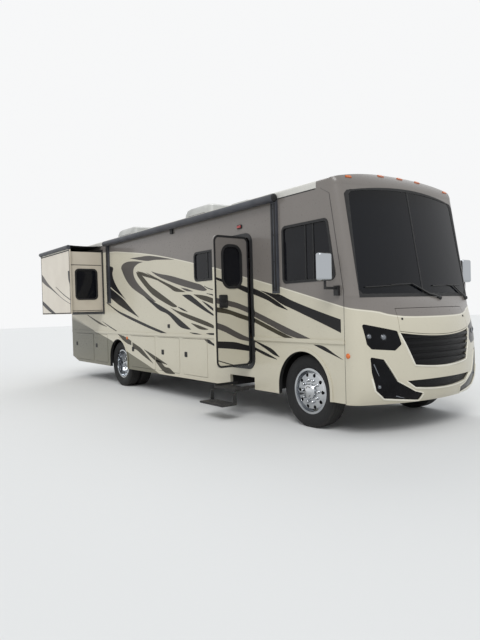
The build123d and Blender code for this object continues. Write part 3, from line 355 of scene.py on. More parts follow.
# Painted stripes
# Swept stripes of thin adhesive vinyl cross the walls and doors. Each has an upper and a lower edge from tip
# to tip, in x and z, and is cut at every window and panel joint, so that a door carries its own part.
GREY = shade(80, 76, 73)
BROWN = shade(64, 60, 50)
DARK = shade(34, 33, 34)
STRIPES = [
    (GREY, [(-5.09, 2.65), (-4.66, 2.64), (-4.20, 2.62), (-3.50, 2.51), (-3.27, 2.47)],
     [(-5.09, 2.65), (-4.37, 2.54), (-3.96, 2.525), (-3.27, 2.47)]),
    (GREY, [(-4.50, 2.53), (-4.83, 2.57), (-5.15, 2.59), (-5.39, 2.57), (-5.51, 2.50), (-5.46, 2.41),
            (-5.32, 2.25), (-5.11, 2.10), (-4.84, 1.98), (-4.26, 1.785), (-4.01, 1.742)],
     [(-4.50, 2.53), (-4.73, 2.51), (-4.91, 2.44), (-4.94, 2.33), (-4.87, 2.22), (-4.73, 2.11),
      (-4.50, 1.98), (-4.01, 1.742)]),
    (DARK, [(-4.52, 1.87), (-4.14, 1.76), (-3.50, 1.56), (-3.03, 1.36), (-2.78, 1.244)],
     [(-4.52, 1.87), (-4.20, 1.72), (-3.90, 1.59), (-3.56, 1.50), (-3.19, 1.30), (-2.93, 1.248),
      (-2.78, 1.244)]),
    (BROWN, [(-4.82, 2.36), (-4.61, 2.30), (-4.24, 2.07), (-3.94, 1.94), (-3.24, 1.655)],
     [(-4.82, 2.36), (-4.72, 2.24), (-4.31, 1.97), (-4.01, 1.83), (-3.44, 1.65), (-3.24, 1.635)]),
    (BROWN, [(-3.50, 1.634), (-3.20, 1.563), (-2.91, 1.51), (-2.25, 1.37), (-2.00, 1.28)],
     [(-3.50, 1.634), (-3.20, 1.52), (-2.92, 1.44), (-2.25, 1.30), (-2.00, 1.26)]),
    (DARK, [(-3.21, 1.64), (-3.04, 1.605), (-2.88, 1.546)],
     [(-3.21, 1.63), (-3.04, 1.57), (-2.88, 1.543)]),
    (BROWN, [(-4.76, 2.37), (-4.48, 2.32), (-4.20, 2.24), (-3.93, 2.143)],
     [(-4.76, 2.36), (-4.52, 2.26), (-4.23, 2.205), (-3.93, 2.14)]),
    (BROWN, [(-4.42, 2.33), (-3.87, 2.16), (-3.53, 2.06), (-2.94, 1.89)],
     [(-4.42, 2.33), (-4.11, 2.205), (-3.53, 2.00), (-3.29, 1.91), (-2.94, 1.885)]),
    (GREY, [(-4.19, 2.33), (-3.86, 2.26), (-3.41, 2.19), (-2.64, 2.03), (-2.42, 1.98), (-2.25, 1.894)],
     [(-4.19, 2.33), (-3.98, 2.24), (-3.69, 2.15), (-3.04, 1.995), (-2.43, 1.885), (-2.25, 1.892)]),
    (GREY, [(-3.10, 1.97), (-2.89, 1.94), (-2.69, 1.89)], [(-3.08, 1.96), (-2.89, 1.90), (-2.69, 1.885)]),
    (DARK, [(-2.34, 1.966), (-2.20, 1.92), (-1.98, 1.88)],
     [(-2.34, 1.956), (-2.20, 1.904), (-1.98, 1.865)]),
    (DARK, [(-2.27, 1.838), (-2.11, 1.82), (-1.98, 1.79)],
     [(-2.27, 1.83), (-2.16, 1.81), (-1.98, 1.765)]),
    (DARK, [(-3.05, 1.84), (-2.80, 1.834), (-2.63, 1.764), (-2.22, 1.56), (-1.98, 1.46)],
     [(-3.05, 1.836), (-2.85, 1.75), (-2.40, 1.575), (-1.98, 1.435)]),
    (BROWN, [(-2.67, 1.836), (-2.46, 1.82), (-2.25, 1.79), (-1.98, 1.725)],
     [(-2.67, 1.83), (-2.46, 1.75), (-2.25, 1.70), (-1.98, 1.64)]),
    (DARK, [(-2.42, 1.72), (-2.23, 1.66), (-1.98, 1.54)], [(-2.40, 1.707), (-2.24, 1.62), (-1.98, 1.50)]),
    (BROWN, [(-2.77, 1.354), (-2.53, 1.317), (-2.25, 1.257)],
     [(-2.77, 1.345), (-2.56, 1.266), (-2.39, 1.245), (-2.25, 1.25)]),
    (DARK, [(-2.83, 1.196), (-2.63, 1.188), (-2.46, 1.168)],
     [(-2.83, 1.19), (-2.66, 1.167), (-2.46, 1.166)]),
    (DARK, [(-2.32, 1.188), (-2.17, 1.197), (-1.98, 1.194)],
     [(-2.32, 1.185), (-2.19, 1.167), (-1.98, 1.166)]),
    (DARK, [(-2.37, 1.092), (-2.24, 1.088), (-2.13, 1.04), (-1.98, 0.99)],
     [(-2.37, 1.087), (-2.27, 1.034), (-2.13, 1.00), (-1.98, 0.955)]),
    (DARK, [(-6.30, 2.60), (-5.93, 2.53), (-5.97, 2.40), (-5.90, 2.25), (-5.73, 2.09), (-5.49, 1.92),
            (-5.21, 1.76), (-4.87, 1.60), (-4.20, 1.355)],
     [(-6.30, 2.21), (-5.87, 2.035), (-5.35, 1.83), (-5.00, 1.66), (-4.67, 1.53), (-4.26, 1.348),
      (-4.20, 1.35)]),
    (DARK, [(-6.30, 2.17), (-5.76, 1.966), (-5.46, 1.84), (-5.18, 1.69), (-4.76, 1.462)],
     [(-6.30, 1.97), (-5.81, 1.77), (-5.44, 1.65), (-4.76, 1.456)]),
    (DARK, [(-6.33, 1.80), (-5.75, 1.61), (-5.30, 1.51), (-4.36, 1.31), (-3.87, 1.215), (-3.64, 1.167)],
     [(-6.33, 1.78), (-5.75, 1.57), (-5.27, 1.445), (-4.49, 1.28), (-3.87, 1.168), (-3.64, 1.166)]),
    (BROWN, [(-7.52, 1.543), (-7.10, 1.44), (-6.74, 1.355), (-6.36, 1.263)],
     [(-7.52, 1.529), (-7.15, 1.416), (-6.75, 1.312), (-6.36, 1.255)]),
    (DARK, [(-6.61, 1.381), (-6.23, 1.281), (-5.83, 1.178)],
     [(-6.59, 1.364), (-6.23, 1.256), (-5.87, 1.166)]),
    (BROWN, [(-5.80, 1.112), (-5.50, 1.072), (-5.31, 1.03), (-5.13, 0.98)],
     [(-5.78, 1.106), (-5.54, 0.99), (-5.32, 0.92), (-5.13, 0.893)]),
    (BROWN, [(-5.08, 0.957), (-4.86, 0.90), (-4.66, 0.835), (-4.38, 0.685), (-4.19, 0.578)],
     [(-5.08, 0.82), (-4.90, 0.81), (-4.64, 0.716), (-4.19, 0.575)]),
    (BROWN, [(-4.58, 0.838), (-4.31, 0.776), (-3.85, 0.656), (-3.65, 0.598)],
     [(-4.56, 0.824), (-4.16, 0.653), (-3.89, 0.611), (-3.65, 0.591)]),
    (BROWN, [(-4.13, 0.662), (-3.92, 0.638), (-3.74, 0.55), (-3.57, 0.534), (-3.38, 0.45)],
     [(-4.11, 0.626), (-3.98, 0.548), (-3.81, 0.461), (-3.66, 0.43), (-3.38, 0.44)]),
    (GREY, [(-1.03, 1.54), (-0.63, 1.41), (-0.335, 1.313), (0.13, 1.168)],
     [(-1.03, 1.455), (-0.64, 1.323), (-0.34, 1.217), (-0.10, 1.166), (0.13, 1.166)]),
    (BROWN, [(-1.03, 1.44), (-0.64, 1.31), (-0.20, 1.168)],
     [(-1.03, 1.376), (-0.64, 1.248), (-0.36, 1.166), (-0.20, 1.166)]),
    (DARK, [(-1.03, 1.112), (-0.77, 1.045), (-0.61, 0.989), (-0.48, 0.902)],
     [(-1.03, 1.10), (-0.77, 0.995), (-0.61, 0.927), (-0.48, 0.898)]),
    (DARK, [(-1.03, 1.015), (-0.73, 0.934), (-0.54, 0.87)],
     [(-1.03, 0.975), (-0.77, 0.90), (-0.54, 0.862)]),
    (DARK, [(-1.06, 1.874), (-0.835, 1.803), (-0.545, 1.679), (-0.29, 1.543)],
     [(-1.06, 1.785), (-0.72, 1.684), (-0.51, 1.597), (-0.29, 1.536)]),
    (DARK, [(-0.87, 1.827), (-0.57, 1.765), (-0.44, 1.751), (-0.22, 1.67), (0.09, 1.574), (0.38, 1.491),
            (0.67, 1.413)],
     [(-0.85, 1.819), (-0.62, 1.723), (-0.40, 1.619), (-0.18, 1.546), (0.41, 1.343), (0.67, 1.25)]),
    (DARK, [(0.19, 1.096), (0.37, 1.08), (0.55, 0.996), (0.69, 0.932)],
     [(0.21, 1.086), (0.39, 1.022), (0.69, 0.928)]),
    (GREY, [(-1.73, 1.74), (-1.47, 1.692), (-1.29, 1.65), (-1.01, 1.555)],
     [(-1.73, 1.665), (-1.47, 1.613), (-1.29, 1.57), (-1.01, 1.472)]),
    (BROWN, [(-1.73, 1.61), (-1.52, 1.575), (-1.29, 1.51), (-1.01, 1.426)],
     [(-1.73, 1.54), (-1.47, 1.50), (-1.30, 1.445), (-1.01, 1.364)]),
    (GREY, [(-1.73, 1.40), (-1.54, 1.34), (-1.38, 1.264), (-1.20, 1.184), (-1.01, 1.11)],
     [(-1.73, 1.32), (-1.55, 1.252), (-1.38, 1.174), (-1.25, 1.127), (-1.01, 1.08)]),
    (DARK, [(-1.73, 1.135), (-1.50, 1.116), (-1.35, 1.097), (-1.20, 1.058), (-1.01, 1.013)],
     [(-1.73, 1.042), (-1.42, 1.007), (-1.10, 0.955), (-1.01, 0.943)]),
    (DARK, [(-1.73, 0.88), (-1.54, 0.823), (-1.37, 0.77)],
     [(-1.73, 0.87), (-1.54, 0.808), (-1.37, 0.763)]),
    (DARK, [(-1.73, 2.03), (-1.50, 1.972), (-1.23, 1.911), (-1.05, 1.86)],
     [(-1.73, 2.00), (-1.50, 1.925), (-1.27, 1.85), (-1.05, 1.77)]),
]
# On the driver's side no open door hides the wall, so these join the stripes across the doorway's place.
DRIVER_LINKS = [
    (DARK, [(-1.90, 2.06), (-1.73, 2.03)], [(-1.90, 2.055), (-1.73, 2.00)]),
    (DARK, [(-1.98, 1.88), (-1.83, 1.875), (-1.65, 1.85)],
     [(-1.98, 1.865), (-1.83, 1.86), (-1.65, 1.848)]),
    (DARK, [(-1.98, 1.79), (-1.78, 1.765)], [(-1.98, 1.765), (-1.78, 1.76)]),
    (GREY, [(-1.98, 1.725), (-1.73, 1.74)], [(-1.98, 1.64), (-1.73, 1.665)]),
    (BROWN, [(-1.98, 1.54), (-1.73, 1.61)], [(-1.98, 1.50), (-1.73, 1.54)]),
    (GREY, [(-1.98, 1.46), (-1.73, 1.40)], [(-1.98, 1.435), (-1.73, 1.32)]),
    (DARK, [(-1.90, 1.09), (-1.73, 1.135)], [(-1.90, 1.085), (-1.73, 1.042)]),
    (DARK, [(-1.98, 0.99), (-1.73, 0.88)], [(-1.98, 0.955), (-1.73, 0.87)]),
]
SLIDE_STRIPES = [
    (GREY, [(-8.46, 2.55), (-8.21, 2.42), (-7.93, 2.27), (-7.36, 2.04), (-6.95, 1.897), (-6.44, 1.766)],
     [(-8.46, 2.37), (-8.13, 2.25), (-7.76, 2.144), (-6.95, 1.883), (-6.44, 1.756)]),
    (DARK, [(-7.44, 2.195), (-6.94, 2.01), (-6.48, 1.87)],
     [(-7.44, 2.18), (-6.94, 1.988), (-6.48, 1.85)]),
    (DARK, [(-8.46, 1.90), (-8.18, 1.813), (-7.81, 1.685), (-7.43, 1.565)],
     [(-8.46, 1.81), (-8.235, 1.722), (-7.86, 1.611), (-7.60, 1.563)]),
    (DARK, [(-6.60, 2.49), (-6.58, 2.30), (-6.482, 2.17)],
     [(-6.50, 2.49), (-6.49, 2.30), (-6.482, 2.17)]),
]
RIGHT = -1
LEFT = 1
SIDES = ((RIGHT, "right"), (LEFT, "left"))
# Windows: (side, rear x, front x, low z, high z)
WINDOWS = [(RIGHT, -2.620, -1.850, 2.055, 2.515), (LEFT, -3.700, -2.300, 1.850, 2.515),
           (LEFT, -5.500, -4.300, 1.850, 2.515), (LEFT, -8.000, -7.150, 1.950, 2.515)]
WINDOW_RADIUS = 0.070
CAB_WINDOW = [(-0.360, 1.905), (0.599, 1.905), (0.476, 2.645), (-0.360, 2.645)]
CAB_RADIUS = 0.060
DOOR_EDGE = (-1.718, -1.090, 0.755, 2.605)
DOOR_RADIUS = 0.090
ROOM_EDGE = (-8.420, -6.520, 1.600, 2.905)
VINYL_LIFT = 0.0006


def rounded(points, radius, steps=6):
    """A closed outline with every corner rounded."""
    outline = []
    count = len(points)
    for index in range(count):
        corner = Vector(points[index])
        before = (Vector(points[index - 1]) - corner).normalized()
        after = (Vector(points[(index + 1) % count]) - corner).normalized()
        half = before.angle(after) / 2
        centre = corner + (before + after).normalized() * (radius / math.sin(half))
        start = corner + before * (radius / math.tan(half)) - centre
        sweep = start.angle_signed(corner + after * (radius / math.tan(half)) - centre)
        for step in range(steps + 1):
            turned = start.copy()
            turned.rotate(Matrix.Rotation(-sweep * step / steps, 2))
            outline.append(tuple(centre + turned))
    return outline


def rectangle(x0, x1, z0, z1, radius=0.0, grow=0.0):
    """A rectangle's outline, grown all round."""
    points = [(x0 - grow, z0 - grow), (x1 + grow, z0 - grow), (x1 + grow, z1 + grow), (x0 - grow, z1 + grow)]
    return rounded(points, radius + grow) if radius + grow > 0.001 else points


def arch(centre, half, top, grow=0.0, foot=0.2, steps=24):
    """A wheel arch's outline: straight legs and a round top."""
    radius = half + grow
    spring = top - half
    line = [(centre + radius * math.cos(math.pi * k / steps), spring + radius * math.sin(math.pi * k / steps))
            for k in range(steps + 1)]
    return [(centre + radius, foot)] + line + [(centre - radius, foot)]


def flowing(points, steps=7):
    """A smooth line through points."""
    line = []
    ends = [points[0]] + list(points) + [points[-1]]
    for k in range(len(points) - 1):
        p0, p1, p2, p3 = (Vector(p) for p in ends[k:k + 4])
        for step in range(steps):
            t = step / steps
            line.append(tuple(0.5 * (2 * p1 + (p2 - p0) * t + (2 * p0 - 5 * p1 + 4 * p2 - p3) * t * t
                                     + (3 * p1 - p0 - 3 * p2 + p3) * t ** 3)))
    return line + [tuple(points[-1])]


def anticlockwise(loop):
    """The same loop, run so that its inside is on its left."""
    area = sum(a[0] * b[1] - b[0] * a[1] for a, b in zip(loop, loop[1:] + loop[:1]))
    return loop if area > 0 else loop[::-1]


def cut_region(outline, keep_in, keep_out):
    """Triangles of an outline that lie inside keep_in, if given, and outside every outline of keep_out."""
    loops = [outline] + ([keep_in] if keep_in else []) + keep_out
    points = []
    faces = []
    for loop in (anticlockwise(each) for each in loops):
        faces.append(list(range(len(points), len(points) + len(loop))))
        points += [Vector(p) for p in loop]
    corners, _, triangles, _, _, owners = delaunay_2d_cdt(points, [], faces, 1, 1e-6)
    first_out = 2 if keep_in else 1
    kept = []
    for triangle, inside in zip(triangles, owners):
        wanted = 0 in inside and (not keep_in or 1 in inside)
        if wanted and not any(owner >= first_out for owner in inside):
            kept.append(triangle)
    return corners, kept


def make_piece(name, mesh, body, *materials):
    """Links a finished mesh as a piece that rides on a body."""
    piece = bpy.data.objects.new(name, mesh)
    bpy.context.scene.collection.objects.link(piece)
    for finish in materials:
        mesh.materials.append(finish.material)
    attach(piece, body)
    return piece


VINYL = {}
for name, colour in (("grey_vinyl", GREY), ("brown_vinyl", BROWN), ("dark_vinyl", DARK)):
    VINYL[colour] = Finish(name, colour, Roughness=0.3, IOR=1.25)
    lighter = tuple(part * 1.15 for part in colour[:3]) + (1,)
    VINYL[colour].feed("Base Color", VINYL[colour].noise(2.5, 4).mix(colour, lighter))


def vinyl(name, stripes, side, face_y, body, keep_in=None, keep_out=(), turn=None):
    """All of one panel's stripes as thin sheets on its face, one material for each colour."""
    sheet = bmesh.new()
    for colour, upper, lower in stripes:
        outline = flowing(upper) + flowing(lower)[::-1]
        corners, triangles = cut_region(outline, keep_in, list(keep_out))
        spots = [sheet.verts.new(at(p[0], side * (face_y + VINYL_LIFT), p[1])) for p in corners]
        for triangle in triangles:
            order = triangle if side == RIGHT else triangle[::-1]
            face = sheet.faces.new([spots[k] for k in order])
            face.material_index = list(VINYL).index(colour)
    bmesh.ops.delete(sheet, geom=[v for v in sheet.verts if not v.link_faces], context="VERTS")
    if not sheet.faces:
        sheet.free()
        return None
    if turn:
        bmesh.ops.transform(sheet, matrix=turn, verts=sheet.verts)
    for face in sheet.faces:
        face.normal_update()
    mesh = bpy.data.meshes.new(name)
    sheet.to_mesh(mesh)
    sheet.free()
    piece = make_piece(name, mesh, body, *VINYL.values())
    return piece


hinge = at(HINGE_X, HINGE_Y, 0)
door_turn = (Matrix.Translation(hinge) @ Matrix.Rotation(math.radians(DOOR_OPEN_DEG), 4, "Z")
             @ Matrix.Translation(-hinge))
WALL_FACE = 1.220
BAY_FACE = 1.223
BAY_RADIUS = 0.030
DOOR_FACE = 1.225
ROOM_FACE = 1.966
DOOR_WINDOW = (-1.564, -1.240, 1.885, 2.460)
DOOR_WINDOW_RADIUS = 0.120
# Wheel arches: (middle x, half width, top z). The rail is the level moulding above the baggage doors.
FRONT_ARCH = (-0.015, 0.485, 1.000)
REAR_ARCH = (-5.770, 0.430, 1.000)
RAIL = (-8.60, 0.725, 1.114, 1.166)
# How far the stripes stop short of each opening
WINDOW_GAP = 0.012
ARCH_GAP = 0.042
BAY_GAP = 0.006
DOORWAY_GAP = 0.067
ROOM_GAP = 0.07
for side, name in SIDES:
    openings = [rectangle(*edge, WINDOW_RADIUS, WINDOW_GAP) for at_side, *edge in WINDOWS if at_side == side]
    openings.append(rounded(CAB_WINDOW, CAB_RADIUS))
    openings += [arch(*FRONT_ARCH, ARCH_GAP), arch(*REAR_ARCH, ARCH_GAP), rectangle(*RAIL)]
    panels = {}
    for bay in bays:
        if bay.startswith("baggage_" + name):
            low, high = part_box(bay)
            edge = (low[0] - AXLE_X, high[0] - AXLE_X, low[2], high[2], BAY_RADIUS)
            panels[bay] = rectangle(*edge)
            openings.append(rectangle(*edge, BAY_GAP))
    if side == RIGHT:
        openings.append(rectangle(*DOOR_EDGE, DOOR_RADIUS, DOORWAY_GAP))
        openings.append(rectangle(*ROOM_EDGE, 0, ROOM_GAP))
    links = DRIVER_LINKS if side == LEFT else []
    vinyl("wall_stripes_" + name, STRIPES + links, side, WALL_FACE, "coach", keep_out=openings)
    for bay, outline in panels.items():
        vinyl(bay + "_stripes", STRIPES, side, BAY_FACE, bay, keep_in=outline)
vinyl("door_stripes", STRIPES, RIGHT, DOOR_FACE, "entry_door",
      keep_in=rectangle(*DOOR_EDGE, DOOR_RADIUS, -0.004),
      keep_out=[rectangle(*DOOR_WINDOW, DOOR_WINDOW_RADIUS, 0.02)], turn=door_turn)
vinyl("room_stripes", SLIDE_STRIPES, RIGHT, ROOM_FACE, "slide_out",
      keep_in=rectangle(-8.460, -6.480, 1.560, 2.945))


# Window frames
# Each side window is dark tinted glass in a black frame, clamped through the wall, with a sliding half. The
# cab windows have two upright bars, with a narrow pane between them.
class Form:
    """Faces gathered for one piece, each with the number of its finish."""

    def __init__(self):
        self.points = []
        self.faces = []
        self.tones = []
        self.tone = 0

    def add(self, points, faces):
        first = len(self.points)
        self.points += [tuple(point) for point in points]
        self.faces += [[first + k for k in face] for face in faces]
        self.tones += [self.tone] * len(faces)
        return self

    def loft(self, rings, capped=True):
        """Skins between rings of the same number of points, closed at both ends if capped."""
        count = len(rings[0])
        faces = []
        for r in range(len(rings) - 1):
            for k in range(count):
                n = (k + 1) % count
                faces.append((r * count + k, r * count + n, (r + 1) * count + n, (r + 1) * count + k))
        if capped:
            faces.append(tuple(range(count))[::-1])
            faces.append(tuple((len(rings) - 1) * count + k for k in range(count)))
        return self.add([point for ring in rings for point in ring], faces)

    def turned(self, profile, centre, towards, steps=24):
        """A shape turned round a line: radius and distance pairs, from centre towards a direction."""
        lean = Vector(towards).to_track_quat("Z", "Y")
        angles = [2 * math.pi * k / steps for k in range(steps)]
        return self.loft([[centre + lean @ Vector((radius * math.cos(angle), radius * math.sin(angle), rise))
                           for angle in angles] for radius, rise in profile])

    def frame(self, outer, inner, place, low, high):
        """A flat ring between two outlines, from low to high off the face that place puts it on."""
        section = ((outer, low), (outer, high), (inner, high), (inner, low), (outer, low))
        return self.loft([[place(u, v, out) for u, v in edge] for edge, out in section], capped=False)

    def border(self, edge, radius, outer, inner, place, low, high):
        """A flat ring that follows a rectangle, from inner to outer beyond its edge."""
        return self.frame(rectangle(*edge, radius, outer), rectangle(*edge, radius, inner), place, low, high)

    def slab(self, outline, place, low, high, round_off=0.0):
        """A flat plate, its upper edge drawn in by round_off."""
        middle = sum((Vector(point) for point in outline), Vector((0, 0))) / len(outline)
        top = []
        for point in outline:
            inward = middle - Vector(point)
            top.append(Vector(point) + inward.normalized() * round_off)
        rings = [[place(u, v, low) for u, v in outline], [place(u, v, high - round_off) for u, v in outline]]
        if round_off:
            rings.append([place(u, v, high) for u, v in top])
        return self.loft(rings)

    def mesh(self, name, sharp_deg=32):
        """The gathered faces as one clean mesh, smooth except at its sharp edges."""
        made = bpy.data.meshes.new(name)
        made.from_pydata(self.points, [], self.faces)
        for face, tone in zip(made.polygons, self.tones):
            face.material_index = tone
        clean = bmesh.new()
        clean.from_mesh(made)
        bmesh.ops.remove_doubles(clean, verts=clean.verts, dist=0.00001)
        bmesh.ops.recalc_face_normals(clean, faces=clean.faces)
        clean.to_mesh(made)
        clean.free()
        made.shade_smooth()
        made.set_sharp_from_angle(angle=math.radians(sharp_deg))
        return made

    def piece(self, name, body, slot, *finishes):
        """Makes the gathered faces a piece of a body."""
        made = make_piece(name, self.mesh(name), body, *finishes)
        return made


def on_side(side, face_y):
    """Puts x, z and a distance outwards on a side of the coach."""
    return lambda x, z, out: at(x, side * (face_y + out), z)


def moved_out(points, grow):
    """A convex outline, drawn anticlockwise, with its sides moved outwards."""
    moved = []
    for index, point in enumerate(points):
        corner = Vector(point)
        before = corner - Vector(points[index - 1])
        after = Vector(points[(index + 1) % len(points)]) - corner
        first = Vector((before.y, -before.x)).normalized()
        second = Vector((after.y, -after.x)).normalized()
        moved.append(tuple(corner + (first + second) * (grow / (1 + first.dot(second)))))
    return moved


rubber_black = Finish("rubber_black", Roughness=0.62).blotch(shade(17, 17, 18), shade(27, 27, 28), 14)
rubber_black.grain(500, 2, 0.1, 0.0004)


FRAME_OUTER = 0.014
FRAME_INNER = -0.020
FRAME_HIGH = 0.007
FRAME_DEEP = -0.014
CAB_BARS = (0.080, 0.222)
for side, name in SIDES:
    frames = Form()
    place = on_side(side, WALL_FACE)
    for at_side, x0, x1, z0, z1 in WINDOWS:
        if at_side == side:
            frames.border((x0, x1, z0, z1), WINDOW_RADIUS, FRAME_OUTER, FRAME_INNER,
                          place, FRAME_DEEP, FRAME_HIGH)
            slide_x = (x0 + x1) / 2
            slide_bar = rectangle(slide_x - 0.012, slide_x + 0.012, z0 + 0.015, z1 - 0.015)
            frames.slab(slide_bar, place, FRAME_DEEP, -0.004, 0.002)
    frames.frame(rounded(moved_out(CAB_WINDOW, FRAME_OUTER), CAB_RADIUS + FRAME_OUTER),
                 rounded(moved_out(CAB_WINDOW, FRAME_INNER), CAB_RADIUS + FRAME_INNER),
                 place, FRAME_DEEP, FRAME_HIGH)
    for bar_x in CAB_BARS:
        frames.slab(rectangle(bar_x - 0.010, bar_x + 0.010, 1.920, 2.630), place, FRAME_DEEP, -0.003, 0.002)
    frames.piece("window_frames_" + name, "coach", "black_plastic", rubber_black)


# Entry door trim
# The door's edge is a black aluminium frame, and its window sits in a black clamped ring.
# A black paddle handle with a lock above it is bolted through the leaf near its free edge.
DOOR_BAND = 0.030
HANDLE_PLATE = (-1.643, -1.498, 1.590, 1.775)
PADDLE = (-1.622, -1.520, 1.612, 1.668)
LOCK_PLATE = (-1.630, -1.512, 1.690, 1.752)
LOCK_BARREL = [(0.015, 0.0), (0.015, 0.008), (0.012, 0.010), (0.002, 0.010)]


def on_door(x, z, out):
    """Puts x, z and a distance outwards on the entry door as it stands open."""
    return door_turn @ at(x, -(DOOR_FACE + out), z)


door_trim = Form()
door_trim.border(DOOR_EDGE, DOOR_RADIUS, -0.001, -DOOR_BAND, on_door, -0.004, 0.004)
door_trim.border(DOOR_WINDOW, DOOR_WINDOW_RADIUS, 0.026, -0.010, on_door, -0.012, 0.008)
door_trim.slab(rectangle(*HANDLE_PLATE, 0.018), on_door, -0.002, 0.017, 0.004)
door_trim.slab(rectangle(*PADDLE, 0.012), on_door, 0.015, 0.030, 0.006)
door_trim.slab(rectangle(*LOCK_PLATE, 0.020), on_door, 0.015, 0.020, 0.003)
door_trim.turned(LOCK_BARREL, on_door(-1.571, 1.721, 0.018), door_turn.to_3x3() @ Vector((0, -1, 0)), 20)
door_trim.piece("door_trim", "entry_door", "black_plastic", rubber_black)

# The door's inner face is a pale moulded liner with a screen frame round it and a grab bar across it.
door_liner = Finish("door_liner", Roughness=0.55).blotch(shade(176, 170, 158), shade(190, 184, 171), 5)
door_liner.grain(420, 3, 0.2, 0.0006)
inner_trim = Form()
inner_trim.border(DOOR_EDGE, DOOR_RADIUS, -0.022, -0.062, on_door, -0.052, -0.038)
inner_trim.slab(rectangle(-1.640, -1.170, 0.840, 1.520, 0.05), on_door, -0.038, -0.047, 0.0)
# The grab bar: (x, distance out, slant of its section)
GRAB_BAR = [(-1.66, -0.040, 0.0), (-1.66, -0.085, 0.006), (-1.15, -0.085, 0.006), (-1.15, -0.040, 0.0)]
GRAB_BAR_Z = 1.70
GRAB_BAR_R = 0.012
bar_rings = []
for x, out, slant in GRAB_BAR:
    spot = on_door(x, GRAB_BAR_Z, out)
    bar_rings.append([spot + Vector(step) for step in ((0, 0, GRAB_BAR_R), (GRAB_BAR_R, slant, 0),
                                                       (0, 0, -GRAB_BAR_R), (-GRAB_BAR_R, -slant, 0))])
inner_trim.loft(bar_rings)
inner_trim.piece("door_liner", "entry_door", "body_paint", door_liner)


# Windshield gasket
# A black rubber gasket holds the two panes, and a narrow black joint covers their meeting edge.
# Things on the nose are placed by where a level line from ahead meets the front mouldings.
def surface_of(*names):
    """A searchable surface of CAD nodes."""
    points, faces = [], []
    for name in names:
        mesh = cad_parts[name].data
        first = len(points)
        points += [vertex.co.copy() for vertex in mesh.vertices]
        faces += [[first + k for k in face.vertices] for face in mesh.polygons]
    return BVHTree.FromPolygons(points, faces)


NOSE = surface_of("front_cap", "windshield", "front_hatch", "headlamps", "lower_pods", "front_grilles")
SCREEN_CORNER = 0.045
GASKET_HIGH = 0.004


def on_nose(y, z, out):
    """A place on the front of the coach, at a distance off it where a level line from ahead meets it."""
    spot, normal, _, _ = NOSE.ray_cast(at(4.0, y, z), Vector((-1, 0, 0)))
    spot = spot + normal * out
    spot.x = min(spot.x, cad_box[1][0])
    return spot


def screen_edge(half_low, half_high, foot, side_top, crown, cut=0.0, steps=12):
    """An outline in y and z with a level foot, straight sides and an arched top, its corners cut off."""
    edge = [((half_low - cut) * (2 * k / steps - 1), foot) for k in range(steps + 1)]
    right = []
    for k in range(steps + 1):
        share = k / steps
        right.append((half_low + (half_high - half_low) * share,
                      foot + cut + (side_top - SCREEN_CORNER - foot - cut) * share))
    top = []
    for k in range(2 * steps + 1):
        share = 1 - k / steps
        top.append(((half_high - SCREEN_CORNER) * share, crown - (crown - side_top) * share ** 2))
    return edge + right + top + [(-y, z) for y, z in right[::-1]]


# Each edge: half widths low and high, foot z, z of the top's ends, z of its crown, and the cut at its corners
GASKET_OUTER = (1.100, 1.100, 1.668, 2.978, 3.068, 0.004)
GASKET_INNER = (1.090, 1.032, 1.712, 2.972, 3.032, 0.045)
JOINT_HALF = 0.014
JOINT_FOOT = 1.690
JOINT_STEP = 0.096
gasket = Form()
gasket_rise = [(0.0, -0.003)] + [(k / 4, GASKET_HIGH) for k in range(5)] + [(1.0, -0.003), (0.0, -0.003)]
gasket_rings = []
for share, out in gasket_rise:
    spots = [Vector(outer).lerp(Vector(inner), share) for outer, inner in
             zip(screen_edge(*GASKET_OUTER), screen_edge(*GASKET_INNER))]
    gasket_rings.append([on_nose(*spot, out) for spot in spots])
gasket.loft(gasket_rings, capped=False)
joint_section = ((-JOINT_HALF, -0.002), (-JOINT_HALF, GASKET_HIGH),
                 (JOINT_HALF, GASKET_HIGH), (JOINT_HALF, -0.002))
gasket.loft([[on_nose(y, JOINT_FOOT + JOINT_STEP * k, out) for y, out in joint_section] for k in range(15)])
gasket.piece("screen_gasket", "coach", "black_plastic", rubber_black)


# Front lamps
# Each headlamp is a gloss black moulding with two projector lenses in chrome rings, and each lower pod holds
# two lamp strips and a fog lamp behind clear faces. Amber markers are screwed to the brow and the sides.
clear_lens = Finish("clear_lens", Roughness=0.08, Coat_Weight=0.5, Coat_Roughness=0.03)
clear_lens.feed("Base Color", clear_lens.noise(60, 2).mix(shade(66, 70, 76), shade(126, 130, 136)))
bright_ring = Finish("bright_ring", Metallic=1.0).blotch(shade(58, 60, 64), shade(86, 88, 92), 30)
bright_ring.sheen(80, 2, 0.1, 0.12)
amber_lens = Finish("amber_lens", Roughness=0.2, Coat_Weight=0.5)
amber_lens.blotch(shade(196, 88, 24), shade(222, 116, 40), 90)
amber_lens.grain(500, 1, 0.3, 0.001)


def nose_normal(y, z):
    """The direction in which the nose faces at a height and a distance across."""
    return NOSE.ray_cast(at(4.0, y, z), Vector((-1, 0, 0)))[1]


